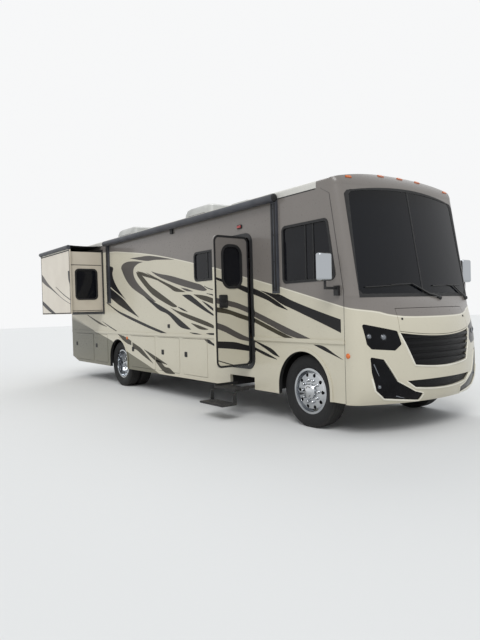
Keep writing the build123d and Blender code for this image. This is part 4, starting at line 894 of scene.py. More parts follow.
# Lamps: (y, z, radius). The sections of their chrome rings and lenses are in shares of the radius.
PROJECTORS = [(1.074, 1.208, 0.027), (0.911, 1.193, 0.031)]
FOG_LAMPS = [(0.977, 0.608, 0.021)]
RING_SECTION = [(1.22, -0.004), (1.25, 0.002), (1.12, 0.005), (0.98, 0.001)]
LENS_SECTION = [(0.95, -0.003), (0.90, 0.004), (0.66, 0.009), (0.33, 0.012), (0.05, 0.013)]
POD_STRIPS = [[(1.040, 0.880), (0.985, 0.740)], [(0.760, 0.487), (0.640, 0.452)]]
for side, name in SIDES:
    lamps = Form()
    for y, z, radius in PROJECTORS + FOG_LAMPS:
        spot, normal = on_nose(side * y, z, 0), nose_normal(side * y, z)
        for tone, section in enumerate((RING_SECTION, LENS_SECTION)):
            lamps.tone = tone
            lamps.turned([(radius * share, rise) for share, rise in section], spot, normal)
    for start, end in POD_STRIPS:
        start, end = Vector(start), Vector(end)
        run = end - start
        across = Vector((run.y, -run.x)).normalized() * 0.006
        outline = [start - across, end - across * 0.5, end + across * 0.5, start + across]
        lamps.slab([(side * y, z) for y, z in outline], on_nose, -0.002, 0.003, 0.001)
    lamps.piece("front_lamp_lenses_" + name, "coach", "lamp_lens", bright_ring, clear_lens)

MARKERS = [(-0.987, 3.150), (-0.377, 3.225), (0.0, 3.230), (0.377, 3.225), (0.987, 3.150)]
MARKER_EDGE = [(-0.045, -0.011), (0.045, -0.011), (0.038, 0.011), (-0.038, 0.011)]
markers = Form()
for y, z in MARKERS:
    markers.slab([(y + dy, z + dz) for dy, dz in MARKER_EDGE], on_nose, -0.004, 0.014, 0.004)
MARKER_DOME = [(0.032, 0.0), (0.032, 0.006), (0.026, 0.013), (0.014, 0.018), (0.002, 0.019)]
for side in (RIGHT, LEFT):
    for x, z in ((0.776, 0.978), (-5.329, 1.036)):
        markers.turned(MARKER_DOME, at(x, side * WALL_FACE, z), (0, side, 0))
markers.piece("marker_lamps", "coach", "lamp_lens", amber_lens)


# Lips with a painted highlight, and the cap's seam
# The cap's moulding turns up into a narrow rounded lip round the grille, the intake and the pods. The lips
# are painted a lighter cream than the body, a painted highlight where light catches them. A dark sealed
# seam runs up each side of the cap, where it is bonded to the walls.
# This cream is lighter than the walls'. On the lips and on the awning's top strip it is a painted highlight.
cream_and_highlight = Finish("lip_cream", Roughness=0.3, Coat_Weight=0.4, Coat_Roughness=0.08)
cream_and_highlight.blotch(shade(218, 214, 199), shade(226, 222, 208), 4)
CAP_FOOT = 0.394
BEAD_STEP = 0.05


def bead(form, path, side, width, high):
    """A rounded lip along a path in y and z on the nose, on the path's left, mirrored for the other side."""
    # The lip's section, from the path to its far edge: (share of its width, height off the nose)
    section = ((0.02, -0.002), (0.12, high * 0.8), (0.40, high), (0.75, high * 0.7), (1.0, -0.001))
    spots = []
    for start, end in zip(path, path[1:]):
        run = Vector(end) - Vector(start)
        parts = max(1, round(run.length / BEAD_STEP))
        spots += [Vector(start) + run * k / parts for k in range(parts)]
    spots.append(Vector(path[-1]))
    rings = []
    for index, spot in enumerate(spots):
        run = (spots[min(index + 1, len(spots) - 1)] - spots[max(index - 1, 0)]).normalized()
        left = Vector((-run.y, run.x))
        ring = []
        for share, out in section:
            place = spot + left * share * width
            ring.append(on_nose(side * place.x, max(place.y, CAP_FOOT), out))
        rings.append(ring)
    form.loft(rings)


GRILLE_LIP = [(0.700, 1.236), (0.524, 0.850), (0.35, 0.832), (0.18, 0.820), (0.0, 0.815)]
INTAKE_LIP = [(0.640, 0.662), (0.520, 0.580), (0.35, 0.562), (0.18, 0.550), (0.0, 0.545)]
POD_LIP = [(1.060, 0.720), (1.018, 0.568), (0.905, 0.466), (0.660, 0.438), (0.420, 0.410), (0.385, 0.492)]
POD_INNER_LIP = [(0.385, 0.492), (0.520, 0.528), (0.766, 0.660), (0.930, 0.932)]
lips = Form()
for side in (RIGHT, LEFT):
    for path, width, high in ((GRILLE_LIP, 0.024, 0.012), (INTAKE_LIP, 0.024, 0.012), (POD_LIP, 0.022, 0.012),
                              (POD_INNER_LIP, 0.012, 0.008)):
        bead(lips, path, side, width, high)
lips.piece("cap_lips", "coach", "body_paint", cream_and_highlight)
SEAM_LINE = [(0.725, 0.400), (0.725, 1.750), (0.525, 2.950), (0.370, 3.040)]
seams = Form()
for side in (RIGHT, LEFT):
    for (x0, z0), (x1, z1) in zip(SEAM_LINE, SEAM_LINE[1:]):
        seams.slab([(x0 - 0.0025, z0), (x0 + 0.0025, z0), (x1 + 0.0025, z1), (x1 - 0.0025, z1)],
                   on_side(side, WALL_FACE), -0.001, 0.001)
seams.piece("cap_seams", "coach", "black_plastic", rubber_black)


# Hatch fasteners
# Quarter-turn fasteners of black moulding, two small dished discs, hold the front hatch shut near its upper
# corners.
FASTENER_SECTION = [(0.014, -0.002), (0.014, 0.004), (0.011, 0.007), (0.008, 0.007), (0.006, 0.003),
                    (0.001, 0.003)]
FASTENER_Z = 1.400
fasteners = Form()
for y in (-0.630, 0.630):
    fasteners.turned(FASTENER_SECTION, on_nose(y, FASTENER_Z, 0), nose_normal(y, FASTENER_Z), 20)
fasteners.piece("hatch_fasteners", "front_hatch", "black_plastic", rubber_black)


# Wheel covers
# Polished steel covers with ten round hand holes, held on by long chrome nut caps, with a domed hub cap.
# A black brake drum shows through the holes. Nuts and the holes' lips repeat one small shape in a circle.
def repeater(name, sockets, build):
    """A Geometry Nodes tree with named inputs. build gets them as wires and returns the instances."""
    tree = bpy.data.node_groups.new(name, "GeometryNodeTree")
    tree.interface.new_socket("Geometry", in_out="OUTPUT", socket_type="NodeSocketGeometry")
    for label, kind in sockets + [("Finish", "NodeSocketMaterial")]:
        tree.interface.new_socket(label, in_out="INPUT", socket_type=kind)
    entry = tree.nodes.new("NodeGroupInput")
    inputs = {socket.name: Wire(tree, socket) for socket in entry.outputs if socket.name}
    real = inputs["Finish"].put("GeometryNodeRealizeInstances", None, build(inputs))
    dressed = real.put("GeometryNodeSetMaterial", None, Geometry=real, Material=inputs["Finish"])
    tree.links.new(dressed.socket, tree.nodes.new("NodeGroupOutput").inputs[0])
    return tree


def ring_of(inputs):
    """One shape at even steps round a circle, turned with it."""
    shape = inputs["Shape"].put("GeometryNodeObjectInfo", None, inputs["Shape"], out="Geometry")
    circle = shape.put("GeometryNodeMeshCircle", None, Vertices=inputs["Count"], Radius=inputs["Radius"])
    angle = circle.put("GeometryNodeInputIndex") * (2 * math.pi) / inputs["Count"]
    turn = angle.put("ShaderNodeCombineXYZ", None, Z=angle)
    placed = turn.put("GeometryNodeInstanceOnPoints", None, Points=circle, Instance=shape, Rotation=turn)
    return placed.put("GeometryNodeTransform", None, Geometry=placed, Translation=inputs["Middle"],
                      Rotation=inputs["Lean"])


RING = repeater("pieces_in_a_ring", [("Shape", "NodeSocketObject"), ("Count", "NodeSocketInt"),
                                     ("Radius", "NodeSocketFloat"), ("Middle", "NodeSocketVector"),
                                     ("Lean", "NodeSocketVector")], ring_of)


def repeated(name, body, slot, tree, form, finish, **sizes):
    """Runs a tree with one shape and its sizes, and keeps the plain mesh as a piece of a body."""
    shape = bpy.data.objects.new(name + "_shape", form.mesh(name + "_shape"))
    carrier = bpy.data.objects.new(name, bpy.data.meshes.new(name))
    bpy.context.scene.collection.objects.link(carrier)
    modifier = carrier.modifiers.new("repeat", "NODES")
    modifier.node_group = tree
    values = dict(sizes, Shape=shape, Finish=finish.material)
    for item in tree.interface.items_tree:
        if item.in_out == "INPUT":
            modifier[item.identifier] = values[item.name]
    graph = bpy.context.evaluated_depsgraph_get()
    mesh = bpy.data.meshes.new_from_object(carrier.evaluated_get(graph), depsgraph=graph)
    mesh.name = name
    bpy.data.objects.remove(carrier)
    bpy.data.objects.remove(shape)
    piece = make_piece(name, mesh, body)
    return piece


chrome = Finish("chrome", Metallic=1.0).blotch(shade(168, 171, 175), shade(204, 206, 208), 3)
chrome.sheen(12, 4, 0.10, 0.03)
chrome.dress("front_rim_right", "front_rim_left", "rear_rims_right", "rear_rims_left")
drum_black = Finish("drum_black", Roughness=0.7).blotch(shade(14, 14, 14), shade(30, 28, 26), 20)
WHEELBASE = 5.790
AXLE_Z = 0.472
TYRE_Y = 1.035
INNER_TYRE_Y = 0.770
NUTS = 10
NUT_RING = 0.143
HOLES = 10
HOLE_RING = 0.215
# Wheels: (name, x, then how far the nuts, the holes, the hub and the drum stand out from the tyre's middle)
WHEELS = [("front_wheel", 0.0, 0.073, 0.062, 0.100, 0.012),
          ("rear_wheels", -WHEELBASE, -0.050, -0.050, -0.026, -0.072)]
NUT_SECTION = [(0.021, -0.002), (0.021, 0.018), (0.018, 0.028), (0.010, 0.035), (0.002, 0.037)]
LIP_SECTION = [(0.0245, 0.0), (0.027, 0.0035), (0.0295, 0.0), (0.027, -0.002), (0.0245, 0.0)]
HUB_SECTION = [(0.101, -0.022), (0.099, 0.004), (0.090, 0.014), (0.066, 0.020), (0.060, 0.030),
               (0.040, 0.039), (0.018, 0.043), (0.002, 0.044)]
DRUM_SECTION = [(0.262, -0.04), (0.262, 0.0), (0.146, 0.0), (0.146, -0.04), (0.262, -0.04)]
nut = Form().turned(NUT_SECTION, Vector(), (0, 0, 1), 12)
hole_lip = Form().loft([[(radius * math.cos(math.pi * k / 10), radius * math.sin(math.pi * k / 10), rise)
                         for k in range(20)] for radius, rise in LIP_SECTION], capped=False)
for wheel, x, nut_face, hole_face, hub_face, drum_face in WHEELS:
    for side, name in SIDES:
        body = wheel + "_" + name
        outwards = Vector((0, side, 0))
        middle = at(x, side * TYRE_Y, AXLE_Z)
        lean = (math.radians(90 if side == RIGHT else -90), 0, 0)
        repeated(body + "_nuts", body, "chrome", RING, nut, chrome, Count=NUTS, Radius=NUT_RING,
                 Middle=tuple(middle + outwards * nut_face), Lean=lean)
        repeated(body + "_hole_lips", body, "chrome", RING, hole_lip, chrome, Count=HOLES, Radius=HOLE_RING,
                 Middle=tuple(middle + outwards * hole_face), Lean=lean)
        cover = Form()
        cover.turned([(radius, hub_face + rise) for radius, rise in HUB_SECTION], middle, outwards, 40)
        cover.tone = 1
        drum_rings = []
        for radius, rise in DRUM_SECTION:
            face = middle + outwards * (drum_face + rise)
            drum_rings.append([face + Vector((radius * math.cos(math.pi * k / 20), 0,
                                              radius * math.sin(math.pi * k / 20))) for k in range(40)])
        cover.loft(drum_rings, capped=False)
        cover.piece(body + "_cover", body, "chrome", chrome, drum_black)


# Tyres
# Plain black road tyres, moulded in rubber and seated on the rims, with four tread grooves and fine rings in
# the sidewalls. The tread is dusty.
GROOVE_PLACES = (0.022, 0.068)
TREAD_FROM = 0.462


def tyre_rubber(name, x, centres, *nodes):
    """Rubber for the tyres of an axle at x, whose middles stand at centres from the coach's middle."""
    rubber = Finish(name, Roughness=0.8)
    along, across, up = rubber.axes()
    along = along - (AXLE_X + x)
    across = (across - MIDDLE_Y).of("ABSOLUTE")
    up = up - AXLE_Z
    radius = (along * along + up * up).of("SQRT")
    groove = None
    for centre in centres:
        off = (across - centre).of("ABSOLUTE")
        for spot in GROOVE_PLACES:
            cut = 1 - (off - spot).of("ABSOLUTE").above(0.005, 0.002)
            groove = cut if groove is None else groove.math("MAXIMUM", groove, cut)
    groove = groove * radius.above(TREAD_FROM, 0.002)
    rings = (radius * 330).of("SINE") * radius.above(0.315, 0.01) * (1 - radius.above(0.445, 0.01))
    dusty = rubber.noise(14, 5) * radius.above(0.455, 0.03)
    black = rubber.noise(30, 3).mix(shade(15, 15, 16), shade(24, 24, 24))
    colour = (dusty * 0.7).mix(black, shade(50, 47, 43))
    # The grooves are painted darker than the rubber, a painted shade in them.
    rubber.feed("Base Color", groove.mix(colour, shade(10, 10, 10)))
    rubber.bump(rings * 0.35 - groove + rubber.noise(220, 3) * 0.12, 0.7, 0.004)
    return rubber.dress(*nodes)


tyre_rubber("front_tyre_rubber", 0.0, [TYRE_Y], "front_tyre_right", "front_tyre_left")
tyre_rubber("rear_tyre_rubber", -WHEELBASE, [TYRE_Y, INNER_TYRE_Y], "rear_tyres_right", "rear_tyres_left")


# Wheel wells
# Black moulded liners are pressed into each arch through the wall, and black splash panels, screwed to the
# body's frame, close the well behind and at both ends of the wheels. Their near black is partly painted
# shade, standing in for the shade inside the arches and wells.
well_black = Finish("well_black", Roughness=0.85).blotch(shade(10, 10, 10), shade(22, 21, 20), 6)
well_black.grain(160, 4, 0.3, 0.001)
LINER_T = 0.004
LINER_FOOT = 0.402
WELL_TOP = 1.028
WALL_INSIDE = 1.172
# Wells: (arch, rear x, front x, inner y, foot z)
WELLS = [(FRONT_ARCH, -0.604, 0.560, 0.560, 0.440), (REAR_ARCH, -6.276, -5.296, 0.600, 0.560)]
wells = Form()
for side in (RIGHT, LEFT):
    place = on_side(side, WALL_FACE)
    for wheel_arch, x0, x1, inner_y, foot in WELLS:
        outer = arch(*wheel_arch, -0.0005, foot=LINER_FOOT)
        inner = arch(*wheel_arch, -0.0005 - LINER_T, foot=LINER_FOOT)
        wells.loft([[place(*a, -0.046), place(*a, 0.008), place(*b, 0.008), place(*b, -0.046)]
                    for a, b in zip(outer, inner)])
        wells.slab(rectangle(x0, x1, foot, WELL_TOP), on_side(side, inner_y), 0.0, LINER_T)
        end_panel = ((inner_y, foot), (WALL_INSIDE, foot), (WALL_INSIDE, WELL_TOP), (inner_y, WELL_TOP))
        for x in (x0, x1 - LINER_T):
            wells.loft([[at(x + step, side * y, z) for y, z in end_panel] for step in (0.0, LINER_T)])
wells.piece("wheel_well_liners", "coach", "black_plastic", well_black)


# Baggage latches
# Each baggage door has a black moulded paddle latch, screwed into the leaf from behind, with a raised rim and
# a dished paddle.
# Latches: (door, middle x, middle z)
LATCHES = [("baggage_right_1", -8.221, 0.830), ("baggage_right_2", -6.968, 0.826),
           ("baggage_right_3", -5.057, 0.818), ("baggage_right_4", -3.806, 0.815),
           ("baggage_right_5", -2.973, 0.813), ("baggage_left_1", -7.820, 0.830),
           ("baggage_left_2", -5.070, 0.820), ("baggage_left_3", -3.670, 0.815)]
for body, x, z in LATCHES:
    latch = Form()
    place = on_side(RIGHT if "right" in body else LEFT, BAY_FACE)
    latch.frame(rectangle(x - 0.046, x + 0.046, z - 0.045, z + 0.045, 0.014),
                rectangle(x - 0.034, x + 0.034, z - 0.033, z + 0.033, 0.010), place, -0.002, 0.004)
    latch.slab(rectangle(x - 0.035, x + 0.035, z - 0.034, z + 0.034), place, -0.004, 0.0008)
    latch.slab(rectangle(x - 0.029, x + 0.029, z - 0.004, z + 0.028, 0.005), place, 0.0, 0.003, 0.001)
    latch.piece(body + "_latch", body, "black_plastic", rubber_black)


# Side fittings
# A red porch lamp above the doorway, a utility latch and the roof's black drip moulding, all screwed to the
# walls.
red_lens = Finish("red_lens", Roughness=0.16, Coat_Weight=0.5)
red_lens.blotch(shade(140, 18, 16), shade(172, 30, 24), 60)
DRIP_MOULDING = (-8.480, 0.290, 3.038, 3.049)
UTILITY_LATCH = (-3.591, -3.515, 1.262, 1.330, 0.012)
PORCH_BASE = (-1.375, -1.257, 2.752, 2.812, 0.018)
PORCH_LENS = (-1.362, -1.270, 2.762, 2.802, 0.014)
door_side = on_side(RIGHT, WALL_FACE)
fittings = Form()
for side in (RIGHT, LEFT):
    fittings.slab(rectangle(*DRIP_MOULDING), on_side(side, WALL_FACE), -0.001, 0.004, 0.001)
fittings.slab(rectangle(*UTILITY_LATCH), door_side, -0.001, 0.010, 0.003)
fittings.piece("side_fittings", "coach", "black_plastic", rubber_black)
porch = Form()
porch.slab(rectangle(*PORCH_BASE), door_side, -0.001, 0.018, 0.006)
porch.tone = 1
porch.slab(rectangle(*PORCH_LENS), door_side, 0.015, 0.028, 0.006)
porch.piece("porch_lamp", "coach", "lamp_red", rubber_black, red_lens)


# Folding step
# Two treads of pressed aluminium, coated black and pinned to folding arms, each with a row of grip ribs.
# A dark rubber strip runs along the nose of each.
def row_of(inputs):
    """One shape at even steps along a line."""
    shape = inputs["Shape"].put("GeometryNodeObjectInfo", None, inputs["Shape"], out="Geometry")
    line = shape.put("GeometryNodeMeshLine", {"mode": "OFFSET"}, **{"Count": inputs["Count"],
                     "Start Location": inputs["First"], "Offset": inputs["Step"]})
    return line.put("GeometryNodeInstanceOnPoints", None, Points=line, Instance=shape)


ROW = repeater("pieces_in_a_row", [("Shape", "NodeSocketObject"), ("Count", "NodeSocketInt"),
                                   ("First", "NodeSocketVector"), ("Step", "NodeSocketVector")], row_of)
tread_black = Finish("step_black", Roughness=0.55).blotch(shade(34, 34, 35), shade(56, 55, 53), 11)
tread_black.grain(300, 3, 0.25, 0.001).dress("step_upper", "step_lower", "entry_well")
# Treads: (body, rear x, front x, y of the nose, top z)
GRIP_RIBS = 11
GRIP_STEP = 0.0205
STEPS = [("step_upper", -1.620, -1.100, -1.550, 0.430), ("step_lower", -1.645, -1.075, -1.790, 0.235)]
for body, x0, x1, front_y, top in STEPS:
    rib = Form().slab([(x0, -0.004), (x1, -0.004), (x1, 0.004), (x0, 0.004)],
                      lambda x, y, out: Vector((x, y, out)), -0.001, 0.002, 0.0015)
    repeated(body + "_grip", body, "step_aluminium", ROW, rib, tread_black, Count=GRIP_RIBS,
             First=tuple(at(0.0, front_y + 0.020, top)), Step=(0.0, GRIP_STEP, 0.0))
    nose = Form().slab(rectangle(x0 - 0.01, x1 + 0.01, top - 0.022, top - 0.003, 0.004),
                       lambda x, z, out: at(x, front_y - out, z), -0.001, 0.003, 0.001)
    nose.piece(body + "_nosing", body, "step_aluminium", rubber_black)


# Mirrors
# Chromed moulded shells on black tubular arms that are bolted to the cap. The glass is set in a black rim in
# each shell's rear face, with a small wide-angle glass below it.
mirror_chrome = Finish("mirror_chrome", Roughness=0.08, Metallic=1.0)
_, across, up = mirror_chrome.axes()
outboard = (across - MIDDLE_Y).of("ABSOLUTE").above(1.342, 0.003) * up.above(1.875, 0.003)
mirror_chrome.feed("Base Color", outboard.mix(shade(24, 24, 25), shade(176, 180, 184)))
mirror_chrome.feed("Metallic", outboard)
mirror_chrome.feed("Roughness", 0.5 - outboard * 0.44 + mirror_chrome.noise(30, 3) * 0.04)
mirror_chrome.dress("mirrors")
silver = Finish("mirror_silver", Metallic=1.0, Roughness=0.02)
silver.blotch(shade(196, 200, 204), shade(212, 216, 220), 4)
MIRROR_BACK_X = 0.595
MIRROR_EDGE = (1.372, 1.528, 1.905, 2.175)
for side, name in SIDES:
    glass = Form()
    behind = lambda y, z, out: at(MIRROR_BACK_X - out, side * y, z)
    low, high, foot, top = MIRROR_EDGE
    glass.tone = 1
    glass.border(MIRROR_EDGE, 0.02, 0.004, -0.008, behind, -0.004, 0.004)
    glass.tone = 0
    glass.slab(rectangle(low, high, foot + 0.11, top, 0.02, -0.006), behind, -0.004, 0.001)
    glass.slab(rectangle(low, high, foot, foot + 0.095, 0.02, -0.006), behind, -0.004, 0.003, 0.002)
    glass.piece("mirror_glass_" + name, "coach", "chrome", silver, rubber_black)


# Wipers
# Black pressed arms run from pivots in the cowl to rubber blades that rest across the screen.
# A domed cap stands on each pivot's nut.
wiper_black = Finish("wiper_black", Roughness=0.42).blotch(shade(14, 14, 15), shade(28, 28, 29), 18)
wiper_black.grain(300, 2, 0.1, 0.0005)


def strip_on_nose(form, start, end, width_start, width_end, low, high):
    """A straight bar over the nose between two places in y and z, tapered, at a height off the surface."""
    run = Vector(end) - Vector(start)
    across = Vector((-run.y, run.x)).normalized()
    rings = []
    steps = max(2, int(run.length / 0.08))
    for k in range(steps + 1):
        middle = Vector(start) + run * k / steps
        half = across * (width_start + (width_end - width_start) * k / steps) / 2
        upper = half * 0.7
        section = ((middle - half, low), (middle + half, low), (middle + upper, high), (middle - upper, high))
        rings.append([on_nose(spot.x, spot.y, out) for spot, out in section])
    form.loft(rings)


# Wipers, in y and z: (pivot, elbow, tip, the blade's far end and its near end)
WIPER_RUNS = [((0.259, 1.640), (-0.221, 1.831), (-0.600, 1.816), (-1.005, 1.788), (-0.221, 1.826)),
              ((1.040, 1.640), (0.724, 1.812), (0.560, 1.816), (0.216, 1.806), (0.930, 1.822))]
PIVOT_CAP = [(0.030, -0.002), (0.030, 0.012), (0.024, 0.030), (0.018, 0.036), (0.003, 0.038)]
wiper_arms = Form()
for pivot, elbow, tip, blade_far, blade_near in WIPER_RUNS:
    strip_on_nose(wiper_arms, pivot, elbow, 0.030, 0.018, 0.016, 0.030)
    strip_on_nose(wiper_arms, elbow, tip, 0.018, 0.010, 0.016, 0.026)
    strip_on_nose(wiper_arms, blade_far, blade_near, 0.014, 0.014, 0.004, 0.018)
    wiper_arms.turned(PIVOT_CAP, on_nose(*pivot, 0), nose_normal(*pivot), 20)
wipers = wiper_arms.piece("wiper_arms", "coach", "black_plastic", wiper_black)
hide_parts("wipers")


# Roof
# An off-white moulded skin with two white air conditioners and two vents. The air conditioners have louvres
# in their long sides, and a white flange with sealant runs round each unit's foot.
roof_white = Finish("roof_white", Roughness=0.5).blotch(shade(198, 196, 188), shade(214, 212, 205), 1.2)
roof_white.grain(90, 3, 0.12, 0.001).dress("roof")
unit_white = Finish("unit_white", Roughness=0.42).blotch(shade(168, 168, 164), shade(190, 190, 185), 2.4)
unit_white.grain(240, 2, 0.1, 0.0006)
# Covers: (middle x, middle y, length, width, height). Their sides: (share of length and width, of height)
ROOF_COVERS = [(-7.150, 0.0, 1.050, 0.720, 0.330), (-3.900, 0.0, 1.050, 0.720, 0.330),
               (-8.150, 0.250, 0.400, 0.400, 0.110), (-2.250, -0.350, 0.600, 0.420, 0.120)]
COVER_FOOT = 3.262
COVER_SHAPE = [(1.0, -0.04), (1.0, 0.10), (0.985, 0.30), (0.95, 0.62), (0.88, 0.85), (0.76, 0.96),
               (0.55, 1.0)]
covers = Form()
for x, y, length, width, height in ROOF_COVERS:
    rings = []
    for share, rise in COVER_SHAPE:
        half_x, half_y = length * share / 2, width * share / 2
        rings.append([at(u, v, COVER_FOOT + height * rise) for u, v in
                      rectangle(x - half_x, x + half_x, y - half_y, y + half_y, 0.18 * width * share)])
    covers.loft(rings)
    covers.loft([[at(u, v, COVER_FOOT + rise) for u, v in
                  rectangle(x - length / 2, x + length / 2, y - width / 2, y + width / 2, 0.1, -grow)]
                 for grow, rise in ((0.0, -0.035), (0.0, 0.012))])
roof_covers = covers.piece("roof_covers", "coach", "roof_plastic", unit_white)
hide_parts("roof_units")
louvre_grey = Finish("louvre_grey", Roughness=0.6).blotch(shade(70, 70, 70), shade(92, 92, 90), 16)
louvre = Form().slab([(-0.30, -0.006), (0.30, -0.006), (0.30, 0.006), (-0.30, 0.006)],
                     lambda x, z, out: Vector((x, out, z)), -0.006, 0.006, 0.003)
for x, name in ((-7.150, "rear"), (-3.900, "middle")):
    for side, hand in SIDES:
        repeated("louvres_" + name + "_" + hand, "coach", "roof_plastic", ROW, louvre, louvre_grey, Count=6,
                 First=tuple(at(x, side * 0.3585, 3.305)), Step=(0.0, -side * 0.0016, 0.022))


# Awning
# A roll of charcoal fabric under a weather shield with cast end caps, and two folded arms screwed to the
# wall. A black cradle carries the roll's middle. A pale strip along the roll's top is a painted highlight,
# where light catches the weather shield's upper edge.
charcoal = Finish("charcoal_coat", Roughness=0.5).blotch(shade(52, 54, 60), shade(68, 70, 76), 4)
weave = charcoal.place.put("ShaderNodeTexWave", {"bands_direction": "X"}, Vector=charcoal.place, Scale=60.0)
charcoal.bump(weave, 0.12, 0.0008).dress("awning", "topper")
ROLL_AXIS = (-1.285, 3.055)
ROLL_ENDS = ((-6.200, -1), (-0.440, 1))
ROLL_TOP_Z = 3.105
TOP_HIGHLIGHT_STRIP = (-6.190, -0.450, -1.303, -1.262)
ARM_REAR_EDGES = (-6.200, -0.555)
ARM_MIDDLE = 0.0575
ARM_FACE = 1.260
CRADLE = (-3.375, -3.287, 2.925, 3.030, 0.01)
END_CAP = [(0.0545, -0.002), (0.0540, 0.006), (0.046, 0.011), (0.020, 0.012), (0.002, 0.012)]
ARM_BOLT = [(0.008, 0.0), (0.008, 0.003), (0.005, 0.005), (0.001, 0.005)]
arm_face = on_side(RIGHT, ARM_FACE)
roll_top = lambda x, y, out: at(x, y, ROLL_TOP_Z + out)
awning_parts = Form()
for x, towards in ROLL_ENDS:
    awning_parts.turned(END_CAP, at(x, *ROLL_AXIS), (towards, 0, 0), 28)
for x0 in ARM_REAR_EDGES:
    for inner in (0.016, 0.072):
        rib = rectangle(x0 + inner, x0 + inner + 0.027, 1.800, 2.985, 0.004)
        awning_parts.slab(rib, arm_face, -0.001, 0.006, 0.002)
    for z in (1.840, 2.200, 2.560, 2.920):
        awning_parts.turned(ARM_BOLT, arm_face(x0 + ARM_MIDDLE, z, 0.0), (0, -1, 0), 12)
awning_parts.slab(rectangle(*CRADLE), door_side, -0.001, 0.030, 0.006)
# The pale strip on the roll's top is a painted highlight.
awning_parts.tone = 1
awning_parts.slab(rectangle(*TOP_HIGHLIGHT_STRIP), roll_top, 0.0, 0.007, 0.002)
awning_parts.piece("awning_fittings", "coach", "awning_grey", rubber_black, cream_and_highlight)


# Slide-out trim
# The room's end wall carries a black framed window and two dark level trims, and a black bead runs round its
# face. A charcoal cloth is stretched from a rail on the wall out to the roller above the room, to shed rain.
ROOM_WINDOW = (-1.826, -1.356, 1.880, 2.520)
ROOM_BEAD = (-8.452, -6.488, 1.568, 2.937)
END_WALL_X = -6.520
FLASHING = (-8.440, -6.500, 2.925, 2.990)
end_wall = lambda y, z, out: at(END_WALL_X + out, y, z)
room_face = on_side(RIGHT, ROOM_FACE)
room_trim = Form()
room_trim.border(ROOM_WINDOW, 0.070, 0.020, -0.014, end_wall, -0.012, 0.007)
for z in (1.625, 2.620):
    room_trim.slab(rectangle(-1.930, -1.240, z - 0.006, z + 0.006), end_wall, -0.001, 0.003, 0.001)
room_trim.border(ROOM_BEAD, 0, 0.0, -0.022, room_face, -0.001, 0.0015)
room_trim.piece("room_trim", "slide_out", "black_plastic", rubber_black)
room_flashing = Form().slab(rectangle(*FLASHING), room_face, -0.012, -0.002)
room_flashing.piece("room_flashing", "slide_out", "body_paint", cream_and_highlight)

cloth = Finish("topper_cloth", Roughness=0.85)
cloth.blotch(shade(46, 48, 54), shade(60, 62, 68), 6)
threads = cloth.place.put("ShaderNodeTexWave", {"bands_direction": "Y"}, Vector=cloth.place, Scale=150.0)
cloth.bump(threads, 0.3, 0.0006)
CLOTH_X = (-8.420, -6.530)
CLOTH_Y = (-1.2215, -1.976)
CLOTH_Z = (3.046, 3.0425)
CLOTH_SAG = 0.018
across_steps, along_steps = 16, 24
points = []
for k in range(across_steps + 1):
    share = k / across_steps
    y = CLOTH_Y[0] + (CLOTH_Y[1] - CLOTH_Y[0]) * share
    for n in range(along_steps + 1):
        sideways = n / along_steps
        x = CLOTH_X[0] + (CLOTH_X[1] - CLOTH_X[0]) * sideways
        sag = CLOTH_SAG * 4 * share * (1 - share) * (0.75 + 0.25 * math.sin(math.pi * sideways))
        points.append(at(x, y, CLOTH_Z[0] + (CLOTH_Z[1] - CLOTH_Z[0]) * share - sag))
cloth_form = Form()
width = along_steps + 1
cloth_form.add(points, [(k * width + n, k * width + n + 1, (k + 1) * width + n + 1, (k + 1) * width + n)
                        for k in range(across_steps) for n in range(along_steps)])
topper_mesh = cloth_form.mesh("topper_cloth")
topper_mesh.materials.append(cloth.material)
topper_cloth = bpy.data.objects.new("topper_cloth", topper_mesh)
bpy.context.scene.collection.objects.link(topper_cloth)
thick = topper_cloth.modifiers.new("cloth", "SOLIDIFY")
thick.thickness = 0.0012
thick.offset = 0.0
tuple(at(-7.475, CLOTH_Y[0], 3.045))
tuple(at(-7.475, CLOTH_Y[1], 3.045))
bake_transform(topper_cloth)


# Tail
# Tail lamps with three chambers behind ribbed lenses in black rims, five red markers along the top of the
# rear cap, a high stop lamp and a blank black plate holder, all screwed to the cap.
tail_lens = Finish("tail_lens", Roughness=0.15, Coat_Weight=0.5)
_, _, height = tail_lens.axes()
LENS_RIBS = 700
WHITE_FROM = 1.000
AMBER_FROM = 1.060
AMBER_TO = 1.130
ribs = (height * LENS_RIBS).of("SINE")
lamp_zone = height.above(WHITE_FROM, 0.003) * (1 - height.above(AMBER_FROM, 0.003))
amber_zone = height.above(AMBER_FROM, 0.003) * (1 - height.above(AMBER_TO, 0.003))
tail_colour = amber_zone.mix(lamp_zone.mix(shade(150, 18, 16), shade(205, 205, 202)), shade(214, 110, 34))
tail_lens.feed("Base Color", tail_colour)
tail_lens.bump(ribs, 0.35, 0.001).dress("tail_lamps")
REAR_FACE_X = -8.635
HIGH_LAMP = (-0.200, 0.200, 2.880, 2.915, 0.010)
PLATE_HOLDER = (-0.160, 0.160, 0.700, 0.860, 0.010)
TAIL_RIMS = ((-1.068, -0.842, 0.892, 1.258), (0.842, 1.068, 0.892, 1.258))
rear_face = lambda y, z, out: at(REAR_FACE_X - out, y, z)
rear_marks = Form()
rear_marks.tone = 1
for y in (-0.900, -0.300, 0.0, 0.300, 0.900):
    rear_marks.slab(rectangle(y - 0.045, y + 0.045, 3.020, 3.045, 0.008), rear_face, -0.001, 0.014, 0.004)
rear_marks.slab(rectangle(*HIGH_LAMP), rear_face, -0.001, 0.012, 0.004)
rear_marks.tone = 0
for edge in TAIL_RIMS:
    rear_marks.border(edge, 0.012, 0.006, -0.008, rear_face, -0.001, 0.008)
rear_marks.slab(rectangle(*PLATE_HOLDER), rear_face, -0.001, 0.004, 0.002)
rear_marks.piece("rear_marks", "coach", "lamp_red", rubber_black, red_lens)


